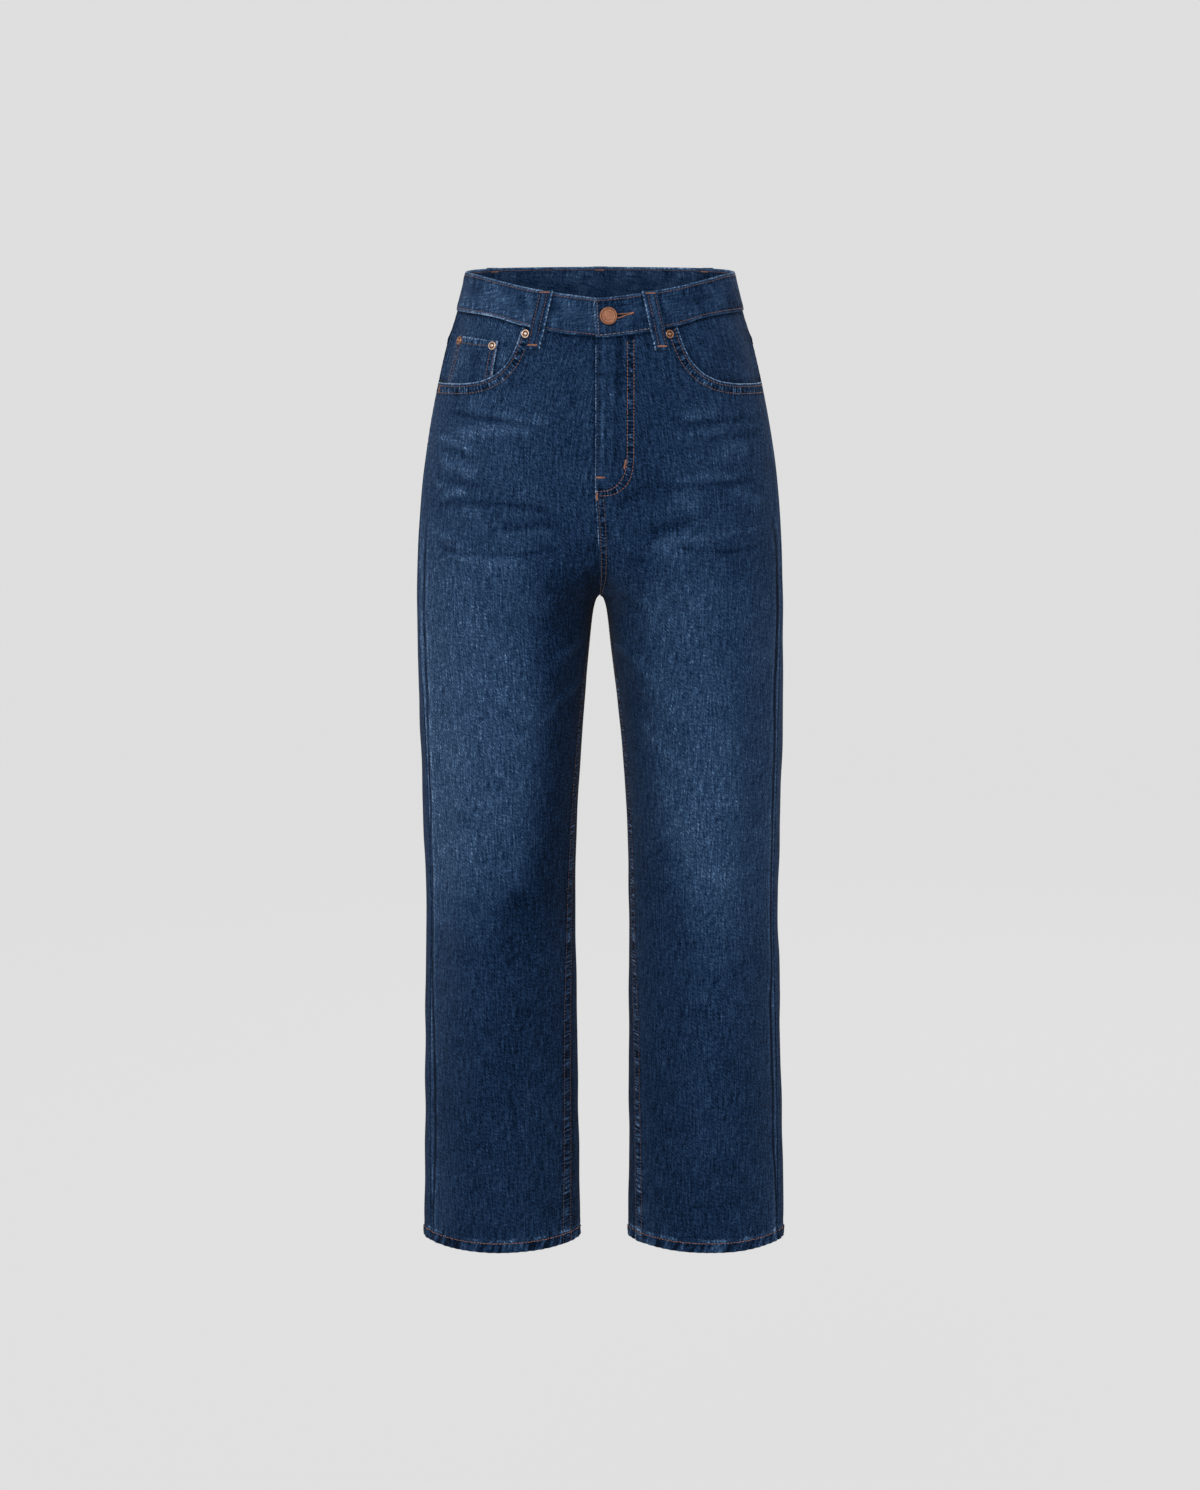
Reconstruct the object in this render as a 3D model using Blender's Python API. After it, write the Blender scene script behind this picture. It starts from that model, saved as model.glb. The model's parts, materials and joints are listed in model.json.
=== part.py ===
"""Straight leg jeans, filled out and hollow, with the waist and both hems open.

Metres, +Z up, the front towards -Y and the wearer's left towards +X. The origin is the middle of the waist
opening. All cloth is cut from one surface. A place on it is a turn and a height: the turn runs from 0 at the
centre front and the inseam, through 1 at the side seam, to 2 at the centre back, and is negative on the wearer's
right. A lift moves a point out along the surface's normal, or in where it is negative.
"""

import math

import bpy
import numpy as np

# Cloth thicknesses, the gap at every seam, and the gap between cloth that lies on other cloth
DENIM_WALL = 0.0014
BAND_WALL = 0.0032
HEM_WALL = 0.0034
PATCH_WALL = 0.0012
LOOP_WALL = 0.0018
SEAM_GAP = 0.0003
LAYER_GAP = 0.0007

# Heights of the main lines of the garment
CROTCH = -0.2960
HEM_BOTTOM = -0.9578
HEM_DEPTH = 0.0105
HEM_STEP = 0.0012
HIP_LINE = -0.1050

# How far the side seam and the inseam lie forward of the leg's outermost and innermost lines: height and
# distance
SIDE_SEAM_FORWARD = (
    (0.05, 0.012),
    (-0.10, 0.012),
    (-0.18, 0.018),
    (-0.24, 0.027),
    (-0.30, 0.034),
    (-0.40, 0.034),
    (-0.50, 0.030),
    (-0.60, 0.025),
    (-0.76, 0.021),
    (-0.98, 0.020),
)
INSEAM_FORWARD = (
    (CROTCH, 0.000),
    (-0.37, 0.008),
    (-0.60, 0.010),
    (-0.75, 0.016),
    (-0.98, 0.018),
)

# The crotch's fork: the heights between which the sections swell into it, how close to the seam they do, and
# how far up and down its crease is rounded
FORK_HEIGHTS = (-0.430, -0.235)
FORK_POWER = 5
FORK_SOFTENING = 0.016
FORK_SEAM_SHARE = 0.12
FORK_REACH = 0.030

# Level sections of one half, top to bottom: the x of its outermost, foremost and innermost points, how far it
# reaches forwards and back, and the y of its outermost and innermost points. Above the crotch the inner reach
# passes x = 0, where the other half cuts it off. Fullness is how flat the front and back are, and ends how round
# the outer and inner ends are: 2 is round, and less is a soft fold.
SECTION_COLUMNS = (
    "height",
    "outer_x",
    "middle_x",
    "inner_x",
    "front_y",
    "back_y",
    "side_y",
    "inner_y",
    "fullness",
    "ends",
)
SECTIONS = (
    (0.040, 0.1270, 0.0000, -0.2000, -0.0905, 0.0915, 0.004, 0.000, 2.20, 2.20),
    (0.020, 0.1303, 0.0000, -0.2000, -0.0925, 0.0925, 0.004, 0.000, 2.20, 2.20),
    (-0.020, 0.1398, 0.0000, -0.2000, -0.0965, 0.0960, 0.003, 0.000, 2.20, 2.20),
    (-0.050, 0.1493, 0.0000, -0.2000, -0.1000, 0.1010, 0.002, 0.000, 2.20, 2.20),
    (-0.087, 0.1580, 0.0000, -0.2000, -0.1035, 0.1090, 0.001, 0.000, 2.20, 2.20),
    (-0.140, 0.1683, 0.0020, -0.1900, -0.1070, 0.1190, 0.000, 0.000, 2.20, 2.20),
    (-0.200, 0.1762, 0.0230, -0.1330, -0.1085, 0.1240, 0.000, 0.006, 2.20, 2.20),
    (-0.250, 0.1800, 0.0580, -0.0590, -0.1070, 0.1212, 0.000, 0.008, 2.20, 2.17),
    (-0.282, 0.1811, 0.0795, -0.0135, -0.1045, 0.1167, 0.000, 0.010, 2.20, 2.16),
    (-0.296, 0.1815, 0.0860, 0.0010, -0.1030, 0.1145, 0.000, 0.010, 2.20, 2.15),
    (-0.300, 0.1816, 0.0874, 0.0044, -0.1026, 0.1138, 0.000, 0.010, 2.20, 2.14),
    (-0.312, 0.1817, 0.0906, 0.0073, -0.1013, 0.1120, 0.000, 0.009, 2.18, 2.12),
    (-0.350, 0.1817, 0.0955, 0.0112, -0.0982, 0.1071, 0.000, 0.006, 2.15, 1.95),
    (-0.400, 0.1804, 0.0980, 0.0152, -0.0952, 0.1016, 0.000, 0.003, 2.10, 1.72),
    (-0.450, 0.1789, 0.0988, 0.0186, -0.0919, 0.0962, 0.000, 0.001, 2.10, 1.60),
    (-0.525, 0.1771, 0.1000, 0.0230, -0.0859, 0.0886, 0.000, 0.000, 2.08, 1.50),
    (-0.605, 0.1753, 0.1001, 0.0248, -0.0793, 0.0824, 0.000, 0.000, 2.06, 1.45),
    (-0.685, 0.1767, 0.1003, 0.0240, -0.0725, 0.0791, 0.002, 0.002, 2.06, 1.42),
    (-0.760, 0.1780, 0.1006, 0.0232, -0.0672, 0.0758, 0.004, 0.004, 2.06, 1.40),
    (-0.860, 0.1793, 0.1004, 0.0214, -0.0614, 0.0716, 0.005, 0.005, 2.06, 1.38),
    (-0.975, 0.1805, 0.1003, 0.0200, -0.0546, 0.0663, 0.004, 0.004, 2.06, 1.36),
)

# The wearer's left leg swings a little further out: height, shift in x
LEFT_LEG_SHIFT = (
    (0.10, 0.0000),
    (-0.33, 0.0000),
    (-0.45, 0.0035),
    (-0.60, 0.0042),
    (-0.72, 0.0055),
    (-0.84, 0.0077),
    (-0.98, 0.0092),
)

# Seam and edge lines: turn, height
RIM_LINE = (
    (0.00, -0.0036),
    (0.17, -0.0002),
    (0.40, 0.0060),
    (0.60, 0.0128),
    (0.80, 0.0182),
    (1.00, 0.0203),
    (1.50, 0.0240),
    (2.00, 0.0250),
)
WAIST_SEAM = (
    (0.00, -0.0412),
    (0.17, -0.0375),
    (0.40, -0.0302),
    (0.61, -0.0215),
    (0.80, -0.0184),
    (1.00, -0.0175),
    (1.50, -0.0160),
    (2.00, -0.0150),
)
POCKET_MOUTH = (
    (0.405, -0.0300),
    (0.422, -0.0451),
    (0.454, -0.0612),
    (0.525, -0.0760),
    (0.621, -0.0832),
    (0.735, -0.0855),
    (0.950, -0.0860),
    (1.000, -0.0858),
)
YOKE_SEAM = (
    (1.00, -0.0480),
    (1.50, -0.0670),
    (2.00, -0.0840),
)

# The fly's edge lies a little to the wearer's right and runs into the crotch seam: height, x
FLY_EDGE = (
    (0.050, -0.0042),
    (-0.120, -0.0044),
    (-0.180, -0.0048),
    (-0.222, -0.0024),
    (-0.252, -0.0010),
    (-0.285, 0.0000),
    (-0.990, 0.0000),
)
FLY_WIDTH = 0.034
FLY_BOTTOM = -0.189
FLY_RISE = 0.0010
FLY_STEP = 0.0040

# The largest folds, as soft ridges (lift above 0) and troughs (below 0). Side is +1 on the wearer's left and -1
# on the right; lengths are half lengths in metres along and across the fold, and tilt is its angle from the
# vertical in degrees, towards the side seam at its lower end.
FOLD_COLUMNS = ("side", "turn", "height", "along", "across", "tilt", "lift")
FOLDS = (
    (-1, 0.28, -0.365, 0.075, 0.013, 38, 0.0022),
    (-1, 0.50, -0.330, 0.110, 0.026, 24, -0.0024),
    (1, 0.30, -0.375, 0.090, 0.014, 42, 0.0024),
    (1, 0.52, -0.345, 0.120, 0.028, 26, -0.0026),
    (-1, 0.82, -0.430, 0.190, 0.022, 2, -0.0028),
    (1, 0.80, -0.450, 0.210, 0.022, -2, -0.0026),
    (-1, 0.62, -0.720, 0.160, 0.030, -4, 0.0022),
    (1, 0.60, -0.760, 0.170, 0.032, 5, 0.0022),
    (-1, 0.30, -0.820, 0.120, 0.024, 6, -0.0020),
    (1, 0.34, -0.700, 0.110, 0.024, -6, -0.0020),
    (-1, 1.66, -0.330, 0.095, 0.016, -46, 0.0036),
    (-1, 1.48, -0.350, 0.120, 0.022, -34, -0.0036),
    (1, 1.68, -0.325, 0.090, 0.016, -48, 0.0034),
    (1, 1.46, -0.360, 0.125, 0.024, -32, -0.0036),
    (-1, 1.50, -0.560, 0.050, 0.018, 78, -0.0030),
    (1, 1.54, -0.585, 0.052, 0.018, -76, -0.0030),
    (-1, 1.40, -0.780, 0.150, 0.028, 4, 0.0024),
    (1, 1.60, -0.800, 0.150, 0.028, -4, 0.0024),
)
FOLD_FADE = 0.14

# Grid lines of the panels
FRONT_TURNS = (
    *(0.00, 0.07, 0.14, 0.21, 0.28, 0.35, 0.405, 0.422),
    *(0.454, 0.525, 0.60, 0.68, 0.76, 0.84, 0.92, 1.00),
)
BACK_TURNS = (1.00, 1.08, 1.16, 1.24, 1.32, 1.40, 1.48, 1.56, 1.64, 1.72, 1.79, 1.86, 1.93, 2.00)
TORSO_ROWS = (
    *(-0.130, -0.158, -0.184, -0.208, -0.230, -0.250),
    *(-0.267, -0.279, -0.287, -0.2922, -0.2948, -0.2960),
)
LEG_ROWS = (-0.306, -0.322, -0.345, -0.375, -0.415, -0.465, -0.525, -0.585, -0.645)
SHIN_ROWS = (-0.710, -0.780, -0.850, -0.915)
TOP_STEPS = 5

# Pocket facings, coin pocket and back pockets
FACING_TUCK = 0.016
COIN_LIFT = -(DENIM_WALL + LAYER_GAP)
FACING_LIFT_LEFT = COIN_LIFT
FACING_LIFT_RIGHT = COIN_LIFT - PATCH_WALL - LAYER_GAP
COIN_TOP = ((-0.840, -0.0392), (-0.540, -0.0440))
COIN_BOTTOM = ((-0.870, -0.0930), (-0.545, -0.0890))
BACK_POCKET_HALF_WIDTHS = ((0.000, 0.0710), (0.045, 0.0698), (0.090, 0.0672), (0.126, 0.0650))
BACK_POCKET_TURN = 1.51
BACK_POCKET_TOP = -0.0960
BACK_POCKET_TILT = 0.006
BACK_POCKET_POINT = 0.022

# Belt loops: name, turn at the top, turn at the bottom
LOOP_WIDTH = 0.0125
LOOP_DROP = 0.0195
LOOP_BOW = 0.0012
LOOP_BOW_SHARE = 0.8
LOOP_STEP = 0.006
LOOPS = (
    ("belt_loop_front_right", -0.293, -0.337),
    ("belt_loop_front_left", 0.266, 0.309),
    ("belt_loop_side_back_right", -1.400, -1.404),
    ("belt_loop_side_back_left", 1.400, 1.404),
    ("belt_loop_centre_back", 2.000, 2.000),
)

# The waistband ends in a tongue under its other end, behind the button, and sinks by its own thickness on the
# way there
UNDERLAP = 0.034
UNDERLAP_EASE = 0.020
UNDERLAP_SINK = 0.0125
BAND_LIFT = 0.0012
BAND_STEPS = 12

# Hardware: the waist button, and the rivets by turn, height and the lift of the cloth that each sits on
BUTTON_X = 0.0079
BUTTON_HEIGHT = -0.0207
BUTTON_RADIUS = 0.0085
BUTTON_THICKNESS = 0.0030
SHANK_RADIUS = 0.0032
SHANK_LENGTH = 0.0020
RIVET_RADIUS = 0.0042
RIVET_THICKNESS = 0.0016
RIVETS = (
    ("rivet_mouth_right", -0.383, -0.0374, 0.0),
    ("rivet_mouth_left", 0.357, -0.0376, 0.0),
    ("rivet_coin_inner", -0.566, -0.0487, COIN_LIFT),
    ("rivet_coin_outer", -0.822, -0.0446, COIN_LIFT),
)

MATERIALS = {
    "denim": ((0.035, 0.075, 0.160, 1.0), 0.88, 0.0),
    "denim_dark": ((0.022, 0.048, 0.110, 1.0), 0.90, 0.0),
    "copper": ((0.56, 0.29, 0.17, 1.0), 0.34, 1.0),
}


def column(rows, names, name):
    index = names.index(name)
    return np.array([row[index] for row in rows], float)


def smooth(table, at):
    """The value at each place along a table of (place, value) rows, on a cubic that doesn't overshoot."""
    rows = np.array(sorted(table), float)
    places, values = rows[:, 0], rows[:, 1]
    steps = np.diff(places)
    slopes = np.diff(values) / steps
    tangents = np.zeros_like(values)
    same = slopes[:-1] * slopes[1:] > 0
    before, after = slopes[:-1][same], slopes[1:][same]
    tangents[1:-1][same] = 2 * before * after / (before + after)
    tangents[0], tangents[-1] = slopes[0], slopes[-1]
    at = np.clip(np.asarray(at, float), places[0], places[-1])
    k = np.clip(np.searchsorted(places, at, side="right") - 1, 0, len(steps) - 1)
    t = (at - places[k]) / steps[k]
    start = (1 + 2 * t) * (1 - t) ** 2 * values[k] + t * (1 - t) ** 2 * steps[k] * tangents[k]
    end = t * t * (3 - 2 * t) * values[k + 1] + t * t * (t - 1) * steps[k] * tangents[k + 1]
    return start + end


class Surface:
    """The garment's outer surface, from level sections made of four superelliptic quarters."""

    quarter_steps = 120
    half_steps = 120

    def __init__(self):
        coarse = np.arange(SECTIONS[-1][0], SECTIONS[0][0] + 1e-6, 0.0025)
        near_crotch = np.arange(CROTCH - 0.004, CROTCH + 0.020, 0.0005)
        self.heights = np.unique(np.concatenate([coarse, near_crotch]).round(6))
        self.points, self.runs = self.sections()
        self.soften_fork()
        self.normals = self.normals_of(self.points)

    def sections(self):
        sizes = {}
        levels = column(SECTIONS, SECTION_COLUMNS, "height")
        for name in SECTION_COLUMNS:
            table = list(zip(levels, column(SECTIONS, SECTION_COLUMNS, name)))
            sizes[name] = smooth(table, self.heights)[:, None]
        outer, middle, inner = (sizes[name] for name in ("outer_x", "middle_x", "inner_x"))
        power, end_power = 2 / sizes["fullness"], 2 / sizes["ends"]
        inner_reach = middle - inner
        cut_off = np.where(inner < 0, middle / inner_reach, 1.0)
        inner_angle = np.arcsin(np.clip(cut_off, 0, 1) ** (1 / power))
        t = np.linspace(0, 1, self.quarter_steps)[None, :]

        def quarter(angle, reach, y_across, y_along):
            x = middle + reach * np.sin(angle) ** power
            return x, y_across + (y_along - y_across) * np.cos(angle) ** end_power

        quarters = (
            quarter(inner_angle * (1 - t), -inner_reach, sizes["inner_y"], sizes["front_y"]),
            quarter(math.pi / 2 * t, outer - middle, sizes["side_y"], sizes["front_y"]),
            quarter(math.pi / 2 * (1 - t), outer - middle, sizes["side_y"], sizes["back_y"]),
            quarter(inner_angle * t, -inner_reach, sizes["inner_y"], sizes["back_y"]),
        )
        xs = np.concatenate([q[0] for q in quarters], axis=1)
        ys = np.concatenate([q[1] for q in quarters], axis=1)
        outlines, runs, seams = [], np.zeros((len(self.heights), 2)), []
        for row, height in enumerate(self.heights):
            x, y = xs[row], ys[row]
            start = 0.0
            if inner[row, 0] >= 0:
                start = float(smooth(INSEAM_FORWARD, height))
                x = np.concatenate([x, x[1 : self.quarter_steps]])
                y = np.concatenate([y, y[1 : self.quarter_steps]])
            length = np.concatenate([[0], np.cumsum(np.hypot(np.diff(x), np.diff(y)))])
            seam = length[2 * self.quarter_steps - 1] - float(smooth(SIDE_SEAM_FORWARD, height))
            end = length[4 * self.quarter_steps - 1] + start
            outlines.append((length, x, y))
            seams.append(seam)
            runs[row] = seam - start, end - seam
        points = np.zeros((len(self.heights), 2 * self.half_steps + 1, 3))
        plain = np.stack([self.without_fork(runs[:, 0]), self.without_fork(runs[:, 1])], axis=1)
        share = np.linspace(0, 1, self.half_steps + 1)
        for row, (length, x, y) in enumerate(outlines):
            fork = runs[row] - plain[row]
            front = seams[row] - share * plain[row, 0] - share**FORK_POWER * fork[0]
            back = seams[row] + share * plain[row, 1] + share**FORK_POWER * fork[1]
            at = np.concatenate([front[::-1], back[1:]])
            points[row, :, 0] = np.interp(at, length, x) + SEAM_GAP / 2
            points[row, :, 1] = np.interp(at, length, y)
            points[row, :, 2] = self.heights[row]
        return points, runs

    def soften_fork(self):
        """Rounds the crease where the thighs part, except at the seams themselves."""
        steps = np.linspace(-1, 1, 7) * FORK_SOFTENING
        weights = np.exp(-((steps / FORK_SOFTENING) ** 2) * 2)
        softened = np.zeros_like(self.points)
        for step, weight in zip(steps, weights / weights.sum()):
            for c in range(self.points.shape[1]):
                for axis in (0, 1):
                    shifted = np.interp(self.heights + step, self.heights, self.points[:, c, axis])
                    softened[:, c, axis] += weight * shifted
        turns = np.linspace(0, 2, self.points.shape[1])
        share = np.clip(np.minimum(turns, 2 - turns) / FORK_SEAM_SHARE, 0, 1)[None, :, None]
        near = np.exp(-(((self.heights - CROTCH) / FORK_REACH) ** 2))[:, None, None]
        share = share * share * (3 - 2 * share) * near
        level = self.points[..., 2].copy()
        self.points = self.points * (1 - share) + softened * share
        self.points[..., 2] = level

    def without_fork(self, run):
        """The run without the swell at the crotch's fork, so that only the inner turns spread into it."""
        low, high = FORK_HEIGHTS
        ends = np.interp([low, high], self.heights, run)
        slopes = np.interp([low, high], self.heights, np.gradient(run, self.heights))
        t = np.clip((self.heights - low) / (high - low), 0, 1)
        bridge = (1 + 2 * t) * (1 - t) ** 2 * ends[0] + t * (1 - t) ** 2 * (high - low) * slopes[0]
        bridge += t * t * (3 - 2 * t) * ends[1] + t * t * (t - 1) * (high - low) * slopes[1]
        inside = (self.heights > low) & (self.heights < high)
        return np.where(inside, bridge, run)

    def normals_of(self, points):
        along = np.gradient(points, axis=1)
        up = np.gradient(points, self.heights, axis=0)
        normals = np.cross(along, up)
        return normals / np.linalg.norm(normals, axis=2, keepdims=True)

    def look_up(self, table, turns, heights):
        """The table's value at each turn from 0 to 2 and each height, on straight lines between its points."""
        across = np.clip(turns, 0, 2) * self.half_steps
        c = np.clip(across.astype(int), 0, 2 * self.half_steps - 1)
        part_c = (across - c)[..., None]
        heights = np.clip(heights, self.heights[0], self.heights[-1])
        r = np.clip(np.searchsorted(self.heights, heights, side="right") - 1, 0, len(self.heights) - 2)
        part_r = ((heights - self.heights[r]) / (self.heights[r + 1] - self.heights[r]))[..., None]
        low = table[r, c] * (1 - part_c) + table[r, c + 1] * part_c
        high = table[r + 1, c] * (1 - part_c) + table[r + 1, c + 1] * part_c
        return low * (1 - part_r) + high * part_r

    def run(self, height, back=False):
        """Metres of cloth in one turn at a height."""
        return np.interp(height, self.heights, self.runs[:, int(back)])

    def at(self, turns, heights, lift=0.0):
        turns, heights, lift = np.broadcast_arrays(turns, heights, lift)
        turns = np.where(np.abs(turns) > 2, turns - 4 * np.sign(turns), turns).astype(float)
        left = turns > 0
        point = self.look_up(self.points, np.abs(turns), heights)
        normal = self.look_up(self.normals, np.abs(turns), heights)
        point[..., 0] += np.where(left, smooth(LEFT_LEG_SHIFT, heights), 0)
        point += normal * (lift + self.folds(turns, heights))[..., None]
        point[..., 0] *= np.where(left, 1, -1)
        return point

    def folds(self, turns, heights):
        total = np.zeros(np.shape(turns))
        for row in FOLDS:
            fold = dict(zip(FOLD_COLUMNS, row))
            across = (np.abs(turns) - fold["turn"]) * self.run(fold["height"], fold["turn"] > 1)
            down = fold["height"] - heights
            tilt = math.radians(fold["tilt"])
            towards_side = 1 if fold["turn"] < 1 else -1
            across = across * towards_side
            far = (down * math.cos(tilt) + across * math.sin(tilt)) / fold["along"]
            wide = (across * math.cos(tilt) - down * math.sin(tilt)) / fold["across"]
            here = np.sign(turns) == fold["side"]
            total += np.where(here, fold["lift"] * np.exp(-(far**2) - wide**2), 0)
        edge = np.clip(np.minimum(np.abs(turns), 2 - np.abs(turns)) / FOLD_FADE, 0, 1)
        return total * edge * edge * (3 - 2 * edge)


SURFACE = Surface()


def fly_turn(heights):
    """The turn of the fly's edge, just on the wearer's right of the middle."""
    return smooth(FLY_EDGE, heights) / SURFACE.run(heights)


def fly_rise(turns, heights):
    """How far the doubled cloth of the fly stands out, falling off at its stitched edge."""
    across = turns * SURFACE.run(heights) - smooth(FLY_EDGE, heights)
    rounding = np.clip((heights - FLY_BOTTOM) / FLY_WIDTH, 0, 1)
    reach = FLY_WIDTH * np.sqrt(1 - (1 - rounding) ** 2)
    return FLY_RISE * np.clip((reach - across) / FLY_STEP, 0, 1) * (heights > FLY_BOTTOM)


def material_of(name, kind):
    colour, roughness, metallic = MATERIALS[kind]
    material = bpy.data.materials.new(name)
    material.use_nodes = True
    material.diffuse_color = colour
    shader = material.node_tree.nodes["Principled BSDF"]
    shader.inputs["Base Color"].default_value = colour
    shader.inputs["Roughness"].default_value = roughness
    shader.inputs["Metallic"].default_value = metallic
    return material


def add_object(name, points, faces, kind):
    mesh = bpy.data.meshes.new(name)
    mesh.from_pydata([tuple(point) for point in points], [], faces)
    mesh.materials.append(material_of(name, kind))
    mesh.shade_smooth()
    mesh.set_sharp_from_angle(angle=math.radians(50))
    obj = bpy.data.objects.new(name, mesh)
    bpy.context.scene.collection.objects.link(obj)
    return obj


def add_wall(name, outer, inner, kind):
    """A closed wall between two grids of points, rows running down and columns towards the wearer's left."""
    rows, columns = outer.shape[:2]
    count = rows * columns
    points = np.concatenate([outer.reshape(-1, 3), inner.reshape(-1, 3)])
    index = np.arange(count).reshape(rows, columns)
    faces = []
    for r in range(rows - 1):
        for c in range(columns - 1):
            a, b, d, e = index[r, c], index[r, c + 1], index[r + 1, c], index[r + 1, c + 1]
            faces.append((a, d, e, b))
            faces.append((a + count, b + count, e + count, d + count))
    rim = [*index[0, :-1], *index[:-1, -1], *index[-1, :0:-1], *index[:0:-1, 0]]
    for first, second in zip(rim, rim[1:] + rim[:1]):
        faces.append((first, second, second + count, first + count))
    return add_object(name, points, [tuple(int(i) for i in face) for face in faces], kind)


def add_cloth(name, turns, heights, lift, wall, kind="denim"):
    """A cloth piece from grids of turns and heights, its outer face at the lift and its wall behind that."""
    if turns[0, 0] > turns[0, -1]:
        turns, heights = turns[:, ::-1], heights[:, ::-1]
        lift = lift[:, ::-1] if np.ndim(lift) == 2 else lift
        wall = wall[:, ::-1] if np.ndim(wall) == 2 else wall
    outer = SURFACE.at(turns, heights, lift)
    inner = SURFACE.at(turns, heights, lift - wall)
    return add_wall(name, outer, inner, kind)


def panel_grid(turns, top_line, rows, fit):
    """Grids for a panel whose top follows a line of heights and whose lower rows are level.

    The fit moves the turns so that the panel's long edges keep their gap at each height.
    """
    top = top_line(fit(turns, top_line(turns)))
    blend = np.linspace(0, 1, TOP_STEPS + 1)[:, None]
    upper = top[None, :] * (1 - blend) + HIP_LINE * blend
    lower = np.repeat(np.array(rows)[:, None], len(turns), axis=1)
    heights = np.concatenate([upper, lower])
    return fit(np.repeat(turns[None, :], len(heights), axis=0), heights), heights


def leg_rows():
    hem_top = HEM_BOTTOM + HEM_DEPTH
    return (*TORSO_ROWS, *LEG_ROWS, *SHIN_ROWS, hem_top + HEM_STEP, hem_top, HEM_BOTTOM)


def hem_walls(heights):
    """The turned-up hem is thicker than the leg: the wall, and how far its outer face stands out."""
    in_hem = heights <= HEM_BOTTOM + HEM_DEPTH + 1e-6
    return np.where(in_hem, HEM_WALL, DENIM_WALL), np.where(in_hem, (HEM_WALL - DENIM_WALL) / 3, 0)


def add_front_panel(side, name):
    def top_line(turns):
        waist = smooth(WAIST_SEAM, turns) - SEAM_GAP / 2
        mouth = smooth(POCKET_MOUTH, turns)
        return np.where(turns > POCKET_MOUTH[0][0], mouth, waist)

    def fit(turns, heights):
        gap_turn = SEAM_GAP / 2 / SURFACE.run(heights)
        edge = fly_turn(heights) * side + gap_turn
        return edge + turns * (1 - gap_turn - edge)

    turns, heights = panel_grid(np.array(FRONT_TURNS), top_line, leg_rows(), fit)
    wall, lift = hem_walls(heights)
    if side > 0:
        lift = lift + fly_rise(turns, heights)
    add_cloth(name, turns * side, heights, lift, wall)


def back_fit(turns, heights):
    gap_turn = SEAM_GAP / 2 / SURFACE.run(heights, back=True)
    return 1 + gap_turn + (turns - 1) * (1 - 2 * gap_turn)


def add_back_panel(side, name):
    def top_line(turns):
        return smooth(YOKE_SEAM, turns) - SEAM_GAP / 2

    turns, heights = panel_grid(np.array(BACK_TURNS), top_line, leg_rows(), back_fit)
    wall, lift = hem_walls(heights)
    add_cloth(name, turns * side, heights, lift, wall)


def strip_grid(turns, top, bottom, steps):
    blend = np.linspace(0, 1, steps + 1)[:, None]
    heights = top[None, :] * (1 - blend) + bottom[None, :] * blend
    return np.repeat(turns[None, :], steps + 1, axis=0), heights


def add_yoke(side, name):
    turns = np.array(BACK_TURNS)
    top = smooth(WAIST_SEAM, turns) - SEAM_GAP / 2
    bottom = smooth(YOKE_SEAM, turns) + SEAM_GAP / 2
    turns, heights = strip_grid(turns, top, bottom, 3)
    add_cloth(name, back_fit(turns, heights) * side, heights, 0.0, DENIM_WALL)


def add_facing(side, name, lift):
    """The cloth seen through a scoop pocket's mouth, tucked in behind the front panel's cut edge."""
    turns = np.linspace(POCKET_MOUTH[0][0] - FACING_TUCK / SURFACE.run(HIP_LINE), 1, 12)
    top = smooth(WAIST_SEAM, turns) - SEAM_GAP / 2
    bottom = smooth(POCKET_MOUTH, turns) - FACING_TUCK
    turns, heights = strip_grid(turns, top, bottom, 4)
    turns = np.minimum(turns, 1 - SEAM_GAP / 2 / SURFACE.run(heights))
    add_cloth(name, turns * side, heights, lift, PATCH_WALL, "denim_dark")


def add_coin_pocket():
    across = np.linspace(0, 1, 8)[None, :]
    down = np.linspace(0, 1, 5)[:, None]
    corners = [np.array(corner) for corner in (*COIN_TOP, *COIN_BOTTOM)]
    grids = [
        (corners[0][i] * (1 - across) + corners[1][i] * across) * (1 - down)
        + (corners[2][i] * (1 - across) + corners[3][i] * across) * down
        for i in range(2)
    ]
    add_cloth("coin_pocket", grids[0], grids[1], COIN_LIFT, PATCH_WALL)


def add_back_pocket(side, name):
    """A patch with a shallow point at the bottom, set on the panel and a little lower at the side seam."""
    across = np.linspace(-1, 1, 13)[None, :]
    down = np.linspace(0, BACK_POCKET_HALF_WIDTHS[-1][0], 8)[:, None]
    width = smooth(BACK_POCKET_HALF_WIDTHS, down) * across
    point = BACK_POCKET_POINT * (1 - np.abs(across)) * down / down[-1]
    heights = BACK_POCKET_TOP - down - point - BACK_POCKET_TILT * across
    turns = BACK_POCKET_TURN - width / SURFACE.run(heights, back=True)
    add_cloth(name, turns * side, heights, LAYER_GAP + PATCH_WALL, PATCH_WALL)


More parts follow.
